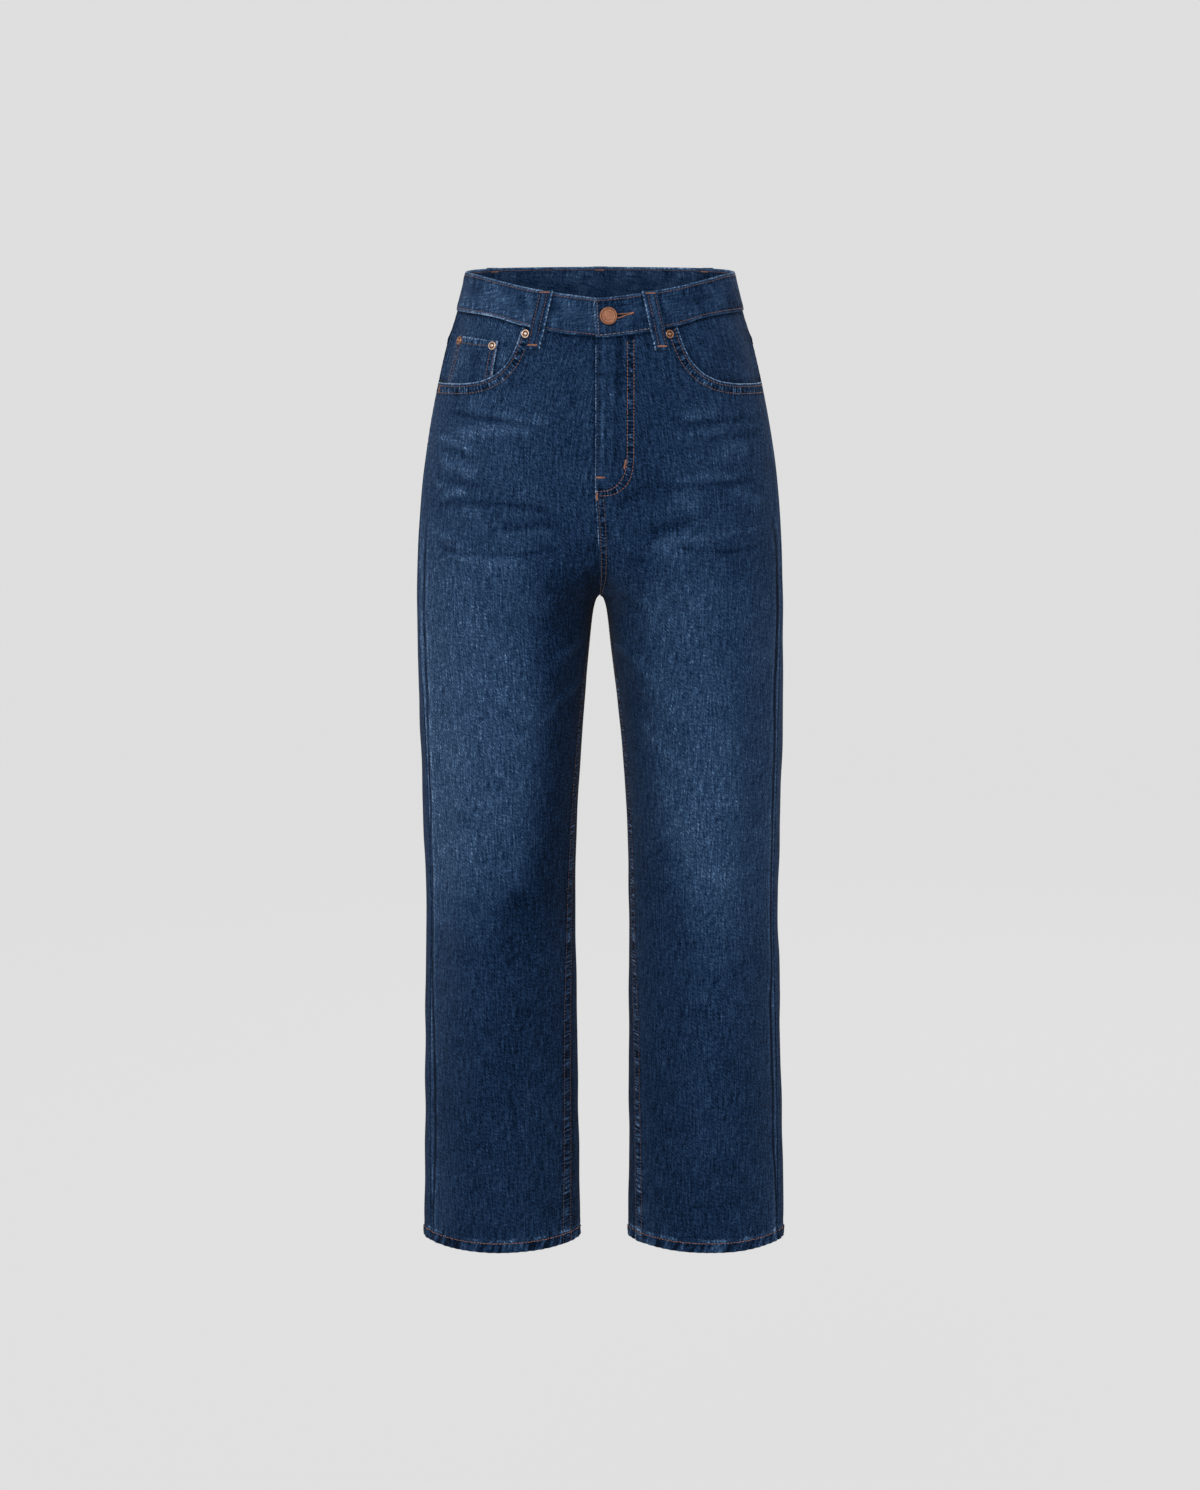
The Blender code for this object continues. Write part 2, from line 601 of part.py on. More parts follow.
def add_waistband():
    """One strip from the end above the fly, round the left, the back and the right, to the hidden tongue."""
    run = SURFACE.run(BUTTON_HEIGHT)
    edge = FLY_EDGE[0][1]
    round_left = np.linspace(0, 2, 2 * BAND_STEPS + 1)[1:]
    round_right = np.linspace(2, 4, 2 * BAND_STEPS + 1)[1:-1]
    ease = 4 + (edge + np.linspace(-UNDERLAP_EASE, 0, 6)) / run
    tongue = 4 + np.linspace(edge, UNDERLAP, 5)[1:] / run
    before_ease = round_right[round_right < ease[0] - 1 / (2 * BAND_STEPS)]
    along = np.concatenate([[(edge + SEAM_GAP) / run, 0.02], round_left, before_ease, ease, tongue])
    turns = np.where(along > 2, along - 4, along)
    top = smooth(RIM_LINE, np.abs(turns))
    bottom = smooth(WAIST_SEAM, np.abs(turns)) + SEAM_GAP / 2
    into_ease = ((along - 4) * run - edge + UNDERLAP_EASE) / UNDERLAP_SINK
    sink = (BAND_WALL + SEAM_GAP) * np.clip(into_ease, 0, 1)
    turn_grid, heights = strip_grid(turns, top, bottom, 3)
    outer = SURFACE.at(turn_grid, heights, BAND_LIFT - sink[None, :])
    inner = SURFACE.at(turn_grid, heights, BAND_LIFT - BAND_WALL - sink[None, :])
    add_wall("waistband", outer, inner, "denim")


def add_belt_loop(name, top_turn, bottom_turn):
    """A narrow strip from the rim to below the waist seam, bowed out a little between its sewn ends."""
    side = 1 if top_turn > 0 else -1
    down = np.linspace(0, 1, 9)[:, None]
    top = smooth(RIM_LINE, abs(top_turn))
    seam = smooth(WAIST_SEAM, abs(bottom_turn))
    heights = top + down * (seam - LOOP_DROP - top)
    centre = abs(top_turn) + down * (abs(bottom_turn) - abs(top_turn))
    run = SURFACE.run(heights, abs(top_turn) > 1)
    across = np.linspace(-0.5, 0.5, 3)[None, :] * LOOP_WIDTH
    turns = (centre + across / run) * side
    heights = np.repeat(heights, 3, axis=1)
    on_band = np.clip((heights - seam) / LOOP_STEP + 1 / 3, 0, 1)
    bow = LOOP_BOW * np.sin(math.pi * np.clip(down / LOOP_BOW_SHARE, 0, 1))
    lift = LAYER_GAP + BAND_LIFT * on_band + bow + LOOP_WALL
    columns = slice(None, None, -1) if turns[0, 0] > turns[0, -1] else slice(None)
    turns, lift = turns[:, columns], lift[:, columns]
    outer = SURFACE.at(turns, heights, lift)
    inner = SURFACE.at(turns, heights, lift - LOOP_WALL)
    add_wall(name, outer, inner, "denim")


def axes_at(turn, height):
    """The point on the surface, and the directions across, up and out there."""
    point = SURFACE.at(turn, height)
    across = SURFACE.at(turn + 0.01, height) - SURFACE.at(turn - 0.01, height)
    across /= np.linalg.norm(across)
    up = SURFACE.at(turn, height + 0.002) - SURFACE.at(turn, height - 0.002)
    up /= np.linalg.norm(up)
    return point, across, up, np.cross(across, up)


def add_turned(name, turn, height, lift, profile, segments, kind):
    """A round piece standing on the cloth: its profile is (radius, distance out), from back to front."""
    point, across, up, out = axes_at(turn, height)
    points = [point + out * (lift + profile[0][1])]
    for radius, distance in profile[1:-1]:
        for step in range(segments):
            angle = 2 * math.pi * step / segments
            spoke = across * math.cos(angle) + up * math.sin(angle)
            points.append(point + spoke * radius + out * (lift + distance))
    points.append(point + out * (lift + profile[-1][1]))
    rings = len(profile) - 2
    last = len(points) - 1
    faces = []
    for step in range(segments):
        following = (step + 1) % segments
        faces.append((0, 1 + following, 1 + step))
        for ring in range(rings - 1):
            low, high = 1 + ring * segments, 1 + (ring + 1) * segments
            faces.append((low + step, low + following, high + following, high + step))
        top = 1 + (rings - 1) * segments
        faces.append((top + step, top + following, last))
    return add_object(name, points, faces, kind)


def add_button():
    cap = SHANK_LENGTH
    face = SHANK_LENGTH + BUTTON_THICKNESS
    radius = BUTTON_RADIUS
    profile = (
        (0.0, 0.0),
        (SHANK_RADIUS, 0.0),
        (SHANK_RADIUS, cap),
        (radius * 0.90, cap),
        (radius, cap + 0.0007),
        (radius, face - 0.0012),
        (radius * 0.94, face - 0.0003),
        (radius * 0.84, face),
        (radius * 0.72, face - 0.0004),
        (radius * 0.30, face - 0.0003),
        (0.0, face - 0.0003),
    )
    turn = BUTTON_X / SURFACE.run(BUTTON_HEIGHT)
    add_turned("waist_button", turn, BUTTON_HEIGHT, BAND_LIFT + SEAM_GAP, profile, 36, "copper")


def add_rivet(name, turn, height, lift):
    radius, top = RIVET_RADIUS, RIVET_THICKNESS
    profile = (
        (0.0, 0.0),
        (radius, 0.0),
        (radius, top * 0.45),
        (radius * 0.86, top * 0.80),
        (radius * 0.66, top * 0.84),
        (radius * 0.54, top * 0.50),
        (radius * 0.34, top * 0.56),
        (radius * 0.24, top),
        (0.0, top),
    )
    add_turned(name, turn, height, lift + SEAM_GAP, profile, 20, "copper")


def clear_scene():
    for obj in list(bpy.data.objects):
        bpy.data.objects.remove(obj, do_unlink=True)


def main():
    clear_scene()
    for side, hand in ((1, "left"), (-1, "right")):
        add_front_panel(side, f"front_panel_{hand}")
        add_back_panel(side, f"back_panel_{hand}")
        add_yoke(side, f"back_yoke_{hand}")
        add_back_pocket(side, f"back_pocket_{hand}")
    add_facing(1, "pocket_facing_left", FACING_LIFT_LEFT)
    add_facing(-1, "pocket_facing_right", FACING_LIFT_RIGHT)
    add_coin_pocket()
    add_waistband()
    for name, top_turn, bottom_turn in LOOPS:
        add_belt_loop(name, top_turn, bottom_turn)
    add_button()
    for name, turn, height, lift in RIVETS:
        add_rivet(name, turn, height, lift)


main()
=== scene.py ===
import json
import math
import bpy
import numpy as np
from mathutils import Matrix, Vector

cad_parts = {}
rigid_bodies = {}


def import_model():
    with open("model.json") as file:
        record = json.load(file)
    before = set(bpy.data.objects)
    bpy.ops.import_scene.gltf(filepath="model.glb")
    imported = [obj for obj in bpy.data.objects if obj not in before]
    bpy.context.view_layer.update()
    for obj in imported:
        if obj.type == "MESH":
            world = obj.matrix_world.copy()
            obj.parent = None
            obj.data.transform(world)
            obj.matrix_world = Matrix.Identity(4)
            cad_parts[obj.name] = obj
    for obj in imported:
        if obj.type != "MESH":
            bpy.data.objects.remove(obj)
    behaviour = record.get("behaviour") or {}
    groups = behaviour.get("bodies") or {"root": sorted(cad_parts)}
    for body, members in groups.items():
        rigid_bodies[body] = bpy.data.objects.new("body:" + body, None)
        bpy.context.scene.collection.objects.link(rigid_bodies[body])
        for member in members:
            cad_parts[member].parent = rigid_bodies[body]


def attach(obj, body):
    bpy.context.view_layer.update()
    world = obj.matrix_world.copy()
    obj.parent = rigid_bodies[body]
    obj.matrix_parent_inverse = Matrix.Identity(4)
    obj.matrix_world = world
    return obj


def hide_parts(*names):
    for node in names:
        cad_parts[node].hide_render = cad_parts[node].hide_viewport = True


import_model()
for name in ("Cube", "Light", "Camera"):
    if name in bpy.data.objects:
        bpy.data.objects.remove(bpy.data.objects[name])
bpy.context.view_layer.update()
hands = ((1, "Left"), (-1, "Right"))
print("frame loaded")

# Metres, +Z up, the front towards -Y and the wearer's left towards +X. A place on the cloth is a turn and a height:
# the turn is 0 at the centre front and inseam, 1 at the side seam, 2 at the centre back, and negative on the right.

studio = dict(
    cameraPlace=(0, -3.0, 0.0376),
    cameraTilt=80.82,
    focalPixels=3039,
    imageHeight=1490,
    background=0.735,
    ambient=0.62,
    floorHeight=-1.42,
    floorRadius=14.0,
    floorGrey=0.05,
    floorGlow=0.685,
)
lamps = (
    dict(name="keyLamp", place=(-1.3, -3.4, 1.5), aim=(0, 0, -0.4), size=2.4, watts=62),
    dict(name="fillLamp", place=(2.4, -2.6, 0.3), aim=(0, 0, -0.5), size=2.2, watts=24),
    dict(name="backLamp", place=(1.2, 3.2, 1.6), aim=(0, 0, -0.4), size=2.4, watts=55),
    dict(name="sideLamp", place=(-3.2, 0.8, 0.6), aim=(0, 0, -0.5), size=2.0, watts=22),
)

scene = bpy.context.scene
scene.view_settings.view_transform = "Standard"


def makeStudio():
    data = bpy.data.cameras.new("viewCamera")
    data.sensor_fit = "VERTICAL"
    data.sensor_height = 36
    data.lens = studio["focalPixels"] / studio["imageHeight"] * data.sensor_height
    camera = bpy.data.objects.new("viewCamera", data)
    camera.location = studio["cameraPlace"]
    camera.rotation_euler = (math.radians(studio["cameraTilt"]), 0, 0)
    scene.collection.objects.link(camera)
    scene.camera = camera
    for lamp in lamps:
        light = bpy.data.lights.new(lamp["name"], "AREA")
        light.shape = "DISK"
        light.size = lamp["size"]
        light.energy = lamp["watts"]
        obj = bpy.data.objects.new(lamp["name"], light)
        obj.location = lamp["place"]
        obj.rotation_euler = (Vector(lamp["aim"]) - Vector(lamp["place"])).to_track_quat("-Z", "Y").to_euler()
        scene.collection.objects.link(obj)
    world = bpy.data.worlds.new("studioWorld")
    world.use_nodes = True
    nodes, links = world.node_tree.nodes, world.node_tree.links
    nodes.clear()
    kinds = "Background", "Background", "LightPath", "MixShader", "OutputWorld"
    seen, lit, path, mix, end = (nodes.new("ShaderNode" + kind) for kind in kinds)
    for node, grey in ((seen, studio["background"]), (lit, studio["ambient"])):
        node.inputs["Color"].default_value = (grey,) * 3 + (1,)
    links.new(path.outputs["Is Camera Ray"], mix.inputs[0])
    links.new(lit.outputs[0], mix.inputs[1])
    links.new(seen.outputs[0], mix.inputs[2])
    links.new(mix.outputs[0], end.inputs[0])
    scene.world = world
    bpy.ops.object.select_all(action="DESELECT")
    bpy.ops.mesh.primitive_circle_add(vertices=96, radius=studio["floorRadius"], fill_type="NGON")
    floor = bpy.context.object
    floor.location.z = studio["floorHeight"]
    floor.name = "studioFloor"
    material = bpy.data.materials.new("studioFloor")
    material.use_nodes = True
    shader = material.node_tree.nodes["Principled BSDF"]
    looks = {
        "Base Color": (studio["floorGrey"],) * 3 + (1,),
        "Roughness": 0.9,
        "Specular IOR Level": 0.1,
        "Emission Color": (1, 1, 1, 1),
        "Emission Strength": studio["floorGlow"],
    }
    for socket, value in looks.items():
        shader.inputs[socket].default_value = value
    floor.data.materials.append(material)


makeStudio()
print("studio ready")

cut = dict(
    denimWall=0.0014,
    bandWall=0.0032,
    hemWall=0.0034,
    patchWall=0.0012,
    loopWall=0.0018,
    seamGap=0.0003,
    closed=0.00001,
    tuck=0.0025,
    layerGap=0.0007,
    crotch=-0.296,
    hemBottom=-0.9578,
    hemDepth=0.0105,
    hipLine=-0.105,
    bandLift=0.0012,
    flyRise=0.001,
)
cut["hemTop"] = cut["hemBottom"] + cut["hemDepth"]



def scaled(units, *rows):
    # rows of whole numbers as lists, each column divided by its unit
    return (np.array(rows) / units).tolist()


sectionNames = ("height", "outerX", "middleX", "innerX", "frontY", "backY", "sideY", "innerY", "fullness", "ends")
sections = scaled(
    (10000,) * 8 + (100,) * 2,
    (400, 1270, 0, -2000, -905, 915, 40, 0, 220, 220),
    (200, 1303, 0, -2000, -925, 925, 40, 0, 220, 220),
    (-200, 1398, 0, -2000, -965, 960, 30, 0, 220, 220),
    (-500, 1493, 0, -2000, -1000, 1010, 20, 0, 220, 220),
    (-870, 1580, 0, -2000, -1035, 1090, 10, 0, 220, 220),
    (-1400, 1683, 20, -1900, -1070, 1190, 0, 0, 220, 220),
    (-2000, 1762, 230, -1330, -1085, 1240, 0, 60, 220, 220),
    (-2500, 1800, 580, -590, -1070, 1212, 0, 80, 220, 217),
    (-2820, 1811, 795, -135, -1045, 1167, 0, 100, 220, 216),
    (-2960, 1815, 860, 10, -1030, 1145, 0, 100, 220, 215),
    (-3000, 1816, 874, 44, -1026, 1138, 0, 100, 220, 214),
    (-3120, 1817, 906, 73, -1013, 1120, 0, 90, 218, 212),
    (-3500, 1817, 955, 112, -982, 1071, 0, 60, 215, 195),
    (-4000, 1804, 980, 152, -952, 1016, 0, 30, 210, 172),
    (-4500, 1789, 988, 186, -919, 962, 0, 10, 210, 160),
    (-5250, 1771, 1000, 230, -859, 886, 0, 0, 208, 150),
    (-6050, 1753, 1001, 248, -793, 824, 0, 0, 206, 145),
    (-6850, 1767, 1003, 240, -725, 791, 20, 20, 206, 142),
    (-7600, 1780, 1006, 232, -672, 758, 40, 40, 206, 140),
    (-8600, 1793, 1004, 214, -614, 716, 50, 50, 206, 138),
    (-9750, 1805, 1003, 200, -546, 663, 40, 40, 206, 136),
)

# Lines on the surface: height and distance, or turn and height
sideSeamForward = scaled(
    (1000, 1000),
    (50, 12), (-100, 12), (-180, 18), (-240, 27), (-300, 34), (-400, 34), (-500, 30), (-600, 25), (-760, 21),
    (-980, 20),
)
inseamForward = scaled(
    (1000, 1000),
    (-296, 0), (-370, 8), (-600, 10), (-750, 16), (-980, 18),
)
leftLegShift = scaled(
    (1000, 10000),
    (100, 0), (-330, 0), (-450, 35), (-600, 42), (-720, 55), (-840, 77), (-980, 92),
)
rimLine = scaled(
    (100, 10000),
    (0, -36), (17, -2), (40, 60), (60, 128), (80, 182), (100, 203), (150, 240), (200, 250),
)
waistSeam = scaled(
    (100, 10000),
    (0, -412), (17, -375), (40, -302), (61, -215), (80, -184), (100, -175), (150, -160), (200, -150),
)
pocketMouth = scaled(
    (1000, 10000),
    (405, -300), (422, -451), (454, -612), (525, -760), (621, -832), (735, -855), (950, -860), (1000, -858),
)
yokeSeam = scaled(
    (100, 10000),
    (100, -480), (150, -670), (200, -840),
)
flyEdge = scaled(
    (1000, 10000),
    (50, -42), (-120, -44), (-180, -48), (-222, -24), (-252, -10), (-285, 0), (-990, 0),
)

# The largest folds: side, turn, height, half length along, half width across, tilt from the vertical, lift
folds = scaled(
    (1, 100, 1000, 1000, 1000, 1, 10000),
    (-1, 28, -365, 75, 13, 38, 22),
    (-1, 50, -330, 110, 26, 24, -24),
    (1, 30, -375, 90, 14, 42, 24),
    (1, 52, -345, 120, 28, 26, -26),
    (-1, 82, -430, 190, 22, 2, -28),
    (1, 80, -450, 210, 22, -2, -26),
    (-1, 62, -720, 160, 30, -4, 22),
    (1, 60, -760, 170, 32, 5, 22),
    (-1, 30, -820, 120, 24, 6, -20),
    (1, 34, -700, 110, 24, -6, -20),
    (-1, 166, -330, 95, 16, -46, 36),
    (-1, 148, -350, 120, 22, -34, -36),
    (1, 168, -325, 90, 16, -48, 34),
    (1, 146, -360, 125, 24, -32, -36),
    (-1, 150, -560, 50, 18, 78, -30),
    (1, 154, -585, 52, 18, -76, -30),
    (-1, 140, -780, 150, 28, 4, 24),
    (1, 160, -800, 150, 28, -4, 24),
)
foldFade = 0.14


def bridge(t, span, values, slopes):
    # a cubic from one value to the next, with the slopes given at both
    start = (1 + 2 * t) * (1 - t) ** 2 * values[0] + t * (1 - t) ** 2 * span * slopes[0]
    end = t * t * (3 - 2 * t) * values[1] + t * t * (t - 1) * span * slopes[1]
    return start + end


def smooth(table, at):
    # value along a table of (place, value) rows, on a cubic that doesn't overshoot
    rows = np.array(sorted(table), float)
    places, values = rows[:, 0], rows[:, 1]
    steps = np.diff(places)
    slopes = np.diff(values) / steps
    tangents = np.zeros_like(values)
    same = slopes[:-1] * slopes[1:] > 0
    before, after = slopes[:-1][same], slopes[1:][same]
    tangents[1:-1][same] = 2 * before * after / (before + after)
    tangents[0], tangents[-1] = slopes[0], slopes[-1]
    at = np.clip(np.asarray(at, float), places[0], places[-1])
    k = np.clip(np.searchsorted(places, at, side="right") - 1, 0, len(steps) - 1)
    t = (at - places[k]) / steps[k]
    return bridge(t, steps[k], (values[k], values[k + 1]), (tangents[k], tangents[k + 1]))


def ease(t):
    t = np.clip(t, 0, 1)
    return t * t * (3 - 2 * t)


def bell(distance, wide):
    return np.exp(-((distance / wide) ** 2))


def joined(*parts):
    return np.concatenate(parts)


def lengths(line):
    # metres along a line of points on a flat
    return joined([0], np.cumsum(np.hypot(*np.diff(line, axis=0).T)))


def readAt(columns, far, places):
    return np.stack([np.interp(places, far, column) for column in columns.T], axis=1)


def wrapped(turns):
    # turns past the centre back, counted from the other side
    return np.where(np.abs(turns) > 2, turns - 4 * np.sign(turns), turns).astype(float)


class Surface:
    quarterSteps = 240
    halfSteps = 240
    forkHeights = (-0.43, -0.235)
    forkSoftening = 0.016
    forkSeamShare = 0.12
    forkReach = 0.03

    def __init__(self):
        coarse = np.arange(sections[-1][0], sections[0][0] + 1e-6, 0.00125)
        close = np.arange(cut["crotch"] - 0.004, cut["crotch"] + 0.02, 0.0005)
        self.heights = np.unique(joined(coarse, close).round(6))
        self.points = self.shapeSections()
        self.softenFork()
        along = np.gradient(self.points, axis=1)
        up = np.gradient(self.points, self.heights, axis=0)
        normals = np.cross(along, up)
        self.normals = normals / np.linalg.norm(normals, axis=2, keepdims=True)

    def shapeSections(self):
        table = np.array(sections)
        sizes = {
            name: smooth(list(zip(table[:, 0], table[:, i])), self.heights)[:, None]
            for i, name in enumerate(sectionNames)
        }
        outer, middle, inner = sizes["outerX"], sizes["middleX"], sizes["innerX"]
        power, endPower = 2 / sizes["fullness"], 2 / sizes["ends"]
        reach = middle - inner
        cutOff = np.where(inner < 0, middle / reach, 1.0)
        innerAngle = np.arcsin(np.clip(cutOff, 0, 1) ** (1 / power))
        t = np.linspace(0, 1, self.quarterSteps)[None, :]

        def quarter(angle, xReach, across, along):
            return middle + xReach * np.sin(angle) ** power, across + (along - across) * np.cos(angle) ** endPower

        quarters = (
            quarter(innerAngle * (1 - t), -reach, sizes["innerY"], sizes["frontY"]),
            quarter(math.pi / 2 * t, outer - middle, sizes["sideY"], sizes["frontY"]),
            quarter(math.pi / 2 * (1 - t), outer - middle, sizes["sideY"], sizes["backY"]),
            quarter(innerAngle * t, -reach, sizes["innerY"], sizes["backY"]),
        )
        xs = np.concatenate([q[0] for q in quarters], axis=1)
        ys = np.concatenate([q[1] for q in quarters], axis=1)
        forward = smooth(sideSeamForward, self.heights)
        inForward = np.where(inner[:, 0] >= 0, smooth(inseamForward, self.heights), 0)
        outlines = []
        self.runs = np.zeros((len(self.heights), 2))
        for row in range(len(self.heights)):
            x, y = xs[row], ys[row]
            if inner[row, 0] >= 0:
                x = joined(x, x[1 : self.quarterSteps])
                y = joined(y, y[1 : self.quarterSteps])
            length = joined([0], np.cumsum(np.hypot(np.diff(x), np.diff(y))))
            seam = length[2 * self.quarterSteps - 1] - forward[row]
            self.runs[row] = seam - inForward[row], length[4 * self.quarterSteps - 1] + inForward[row] - seam
            outlines.append((length, x, y, seam))
        self.plain = np.stack([self.withoutFork(self.runs[:, 0]), self.withoutFork(self.runs[:, 1])], axis=1)
        self.fork = self.runs - self.plain
        points = np.zeros((len(self.heights), 2 * self.halfSteps + 1, 3))
        share = np.linspace(0, 1, self.halfSteps + 1)
        for row, (length, x, y, seam) in enumerate(outlines):
            front = seam - share * self.plain[row, 0] - share**5 * self.fork[row, 0]
            back = seam + share * self.plain[row, 1] + share**5 * self.fork[row, 1]
            at = joined(front[::-1], back[1:])
            points[row, :, 0] = np.interp(at, length, x)
            points[row, :, 1] = np.interp(at, length, y)
            points[row, :, 2] = self.heights[row]
        return points

    def withoutFork(self, run):
        low, high = self.forkHeights
        ends = np.interp([low, high], self.heights, run)
        slopes = np.interp([low, high], self.heights, np.gradient(run, self.heights))
        t = np.clip((self.heights - low) / (high - low), 0, 1)
        crossing = bridge(t, high - low, ends, slopes)
        return np.where((self.heights > low) & (self.heights < high), crossing, run)

    def softenFork(self):
        steps = np.linspace(-1, 1, 7) * self.forkSoftening
        weights = np.exp(-((steps / self.forkSoftening) ** 2) * 2)
        softened = np.zeros_like(self.points)
        for step, weight in zip(steps, weights / weights.sum()):
            for c in range(self.points.shape[1]):
                for axis in (0, 1):
                    shifted = np.interp(self.heights + step, self.heights, self.points[:, c, axis])
                    softened[:, c, axis] += weight * shifted
        turns = np.linspace(0, 2, self.points.shape[1])
        share = ease(np.minimum(turns, 2 - turns) / self.forkSeamShare)[None, :, None]
        share = share * bell(self.heights - cut["crotch"], self.forkReach)[:, None, None]
        level = self.points[..., 2].copy()
        self.points = self.points * (1 - share) + softened * share
        self.points[..., 2] = level

    def lookUp(self, table, turns, heights):
        across = np.clip(turns, 0, 2) * self.halfSteps
        c = np.clip(across.astype(int), 0, 2 * self.halfSteps - 1)
        partC = (across - c)[..., None]
        heights = np.clip(heights, self.heights[0], self.heights[-1])
        r = np.clip(np.searchsorted(self.heights, heights, side="right") - 1, 0, len(self.heights) - 2)
        partR = ((heights - self.heights[r]) / (self.heights[r + 1] - self.heights[r]))[..., None]
        low = table[r, c] * (1 - partC) + table[r, c + 1] * partC
        high = table[r + 1, c] * (1 - partC) + table[r + 1, c + 1] * partC
        return low * (1 - partR) + high * partR

    def run(self, height, back=False):
        return np.interp(height, self.heights, self.runs[:, int(back)])

    def sizesAt(self, heights, back):
        def read(sizes):
            front, rear = (np.interp(heights, self.heights, column) for column in sizes.T)
            return np.where(back, rear, front)

        return read(self.plain), read(self.fork)

    def fromSide(self, turns, heights):
        # metres of cloth between a place and the side seam
        t = np.abs(turns)
        plain, fork = self.sizesAt(heights, t > 1)
        s = np.abs(1 - t)
        return s * plain + s**5 * fork

    def fromMiddle(self, turns, heights):
        # metres of cloth between a place and the centre front, centre back or inseam
        t = np.abs(turns)
        plain, fork = self.sizesAt(heights, t > 1)
        return plain + fork - self.fromSide(turns, heights)

    def shareAt(self, distance, heights, back):
        # how far from the side seam, as a share of the panel, a place lies that many metres from it
        plain, fork = self.sizesAt(heights, back)
        s = distance / (plain + fork)
        for _ in range(7):
            s = s - (s * plain + s**5 * fork - distance) / (plain + 5 * s**4 * fork)
        return s

    def turnFromSide(self, distance, heights, back=False):
        s = self.shareAt(np.asarray(distance, float), heights, back)
        return 1 + s if back else 1 - s

    def turnFromMiddle(self, distance, heights, back=False):
        plain, fork = self.sizesAt(heights, back)
        s = self.shareAt(plain + fork - np.asarray(distance, float), heights, back)
        return 1 + s if back else 1 - s

    def at(self, turns, heights, lift=0.0, plainShape=False):
        turns, heights, lift = np.broadcast_arrays(turns, heights, lift)
        turns = wrapped(turns)
        left = turns > 0
        point = self.lookUp(self.points, np.abs(turns), heights)
        normal = self.lookUp(self.normals, np.abs(turns), heights)
        point[..., 0] += np.where(left, smooth(leftLegShift, heights), 0)
        if not plainShape:
            lift = lift + self.foldLift(turns, heights)
        point += normal * lift[..., None]
        point[..., 0] *= np.where(left, 1, -1)
        return point

    def foldLift(self, turns, heights):
        total = np.zeros(np.shape(turns))
        for side, turn, height, half, wide, tilt, lift in folds:
            across = (np.abs(turns) - turn) * self.run(height, turn > 1) * (1 if turn < 1 else -1)
            down = height - heights
            tilt = math.radians(tilt)
            far = (down * math.cos(tilt) + across * math.sin(tilt)) / half
            off = (across * math.cos(tilt) - down * math.sin(tilt)) / wide
            total += np.where(np.sign(turns) == side, lift * np.exp(-(far**2) - off**2), 0)
        edge = ease(np.minimum(np.abs(turns), 2 - np.abs(turns)) / foldFade)
        return total * edge


surface = Surface()
print("surface ready")


def flyTurn(heights):
    return smooth(flyEdge, heights) / surface.run(heights)


lattice = np.random.default_rng(7).random((257, 257))
# the seeds of each piece's uneven marks, which count up from here
seeds = dict(
    front={1: 11, -1: 23},
    back={1: 31, -1: 43},
    yoke={1: 51, -1: 57},
    fly=61,
    facing=71,
    coin=81,
    backPocket={1: 91, -1: 97},
    band=101,
    loop=121,
)


def grain(x, y, cell, seed=0):
    # smooth random values from -1 to 1, changing over one cell
    x, y = np.asarray(x) / cell + seed * 17.3, np.asarray(y) / cell + seed * 41.7
    i, j = np.floor(x).astype(int), np.floor(y).astype(int)
    u, v = ease(x - i), ease(y - j)
    low = lattice[i % 256, j % 256] * (1 - u) + lattice[(i + 1) % 256, j % 256] * u
    high = lattice[i % 256, (j + 1) % 256] * (1 - u) + lattice[(i + 1) % 256, (j + 1) % 256] * u
    return (low * (1 - v) + high * v) * 2 - 1


def pucker(along, pitch, seed):
    # a row of uneven puckers, from -1 to 1
    drift = grain(along, seed * 3.1, pitch * 3, seed)
    size = 0.65 + 0.35 * grain(along, seed * 5.7, pitch * 2.3, seed + 1)
    return np.sin(2 * math.pi * (along / pitch + 0.55 * drift)) * size


def nearLine(x, z, path):
    # distance from a line of points, positive on its right, and how far along the line, in metres and as a share
    path = np.asarray(path, float)
    steps = np.hypot(*np.diff(path, axis=0).T)
    starts = joined([0], np.cumsum(steps))
    best = np.full(np.shape(x), 9.0)
    side = np.ones(np.shape(x))
    along = np.zeros(np.shape(x))
    for k in range(len(steps)):
        (ax, az), (bx, bz) = path[k], path[k + 1]
        dx, dz = (bx - ax) / steps[k], (bz - az) / steps[k]
        t = np.clip((x - ax) * dx + (z - az) * dz, 0, steps[k])
        px, pz = x - ax - t * dx, z - az - t * dz
        d = np.hypot(px, pz)
        closer = d < best
        best = np.where(closer, d, best)
        side = np.where(closer, np.sign(px * dz - pz * dx + 1e-12), side)
        along = np.where(closer, starts[k] + t, along)
    return best * side, along, along / starts[-1]


def bend(points, steps=6):
    # a rounder line through a few points
    points = np.asarray(points, float)
    if len(points) < 3:
        return points
    places = lengths(points)
    between = np.linspace(0, places[-1], steps * (len(points) - 1) + 1)
    return np.stack([smooth(list(zip(places, column)), between) for column in points.T], axis=1)


class Wire:
    # a shader socket that can be added, multiplied and so on, as a number is
    def __init__(self, paint, socket):
        self.paint, self.socket = paint, socket

    def maths(self, operation, *values):
        return self.paint.add("ShaderNodeMath", dict(operation=operation), dict(enumerate(values)))

    def __add__(self, other):
        return self.maths("ADD", self, other)

    def __sub__(self, other):
        return self.maths("SUBTRACT", self, other)

    def __rsub__(self, other):
        return self.maths("SUBTRACT", other, self)

    def __mul__(self, other):
        return self.maths("MULTIPLY", self, other)

    __radd__ = __add__
    __rmul__ = __mul__

    def clipped(self):
        return self.maths("MINIMUM", self.maths("MAXIMUM", self, 0), 1)

    def size(self):
        return self.maths("ABSOLUTE", self)


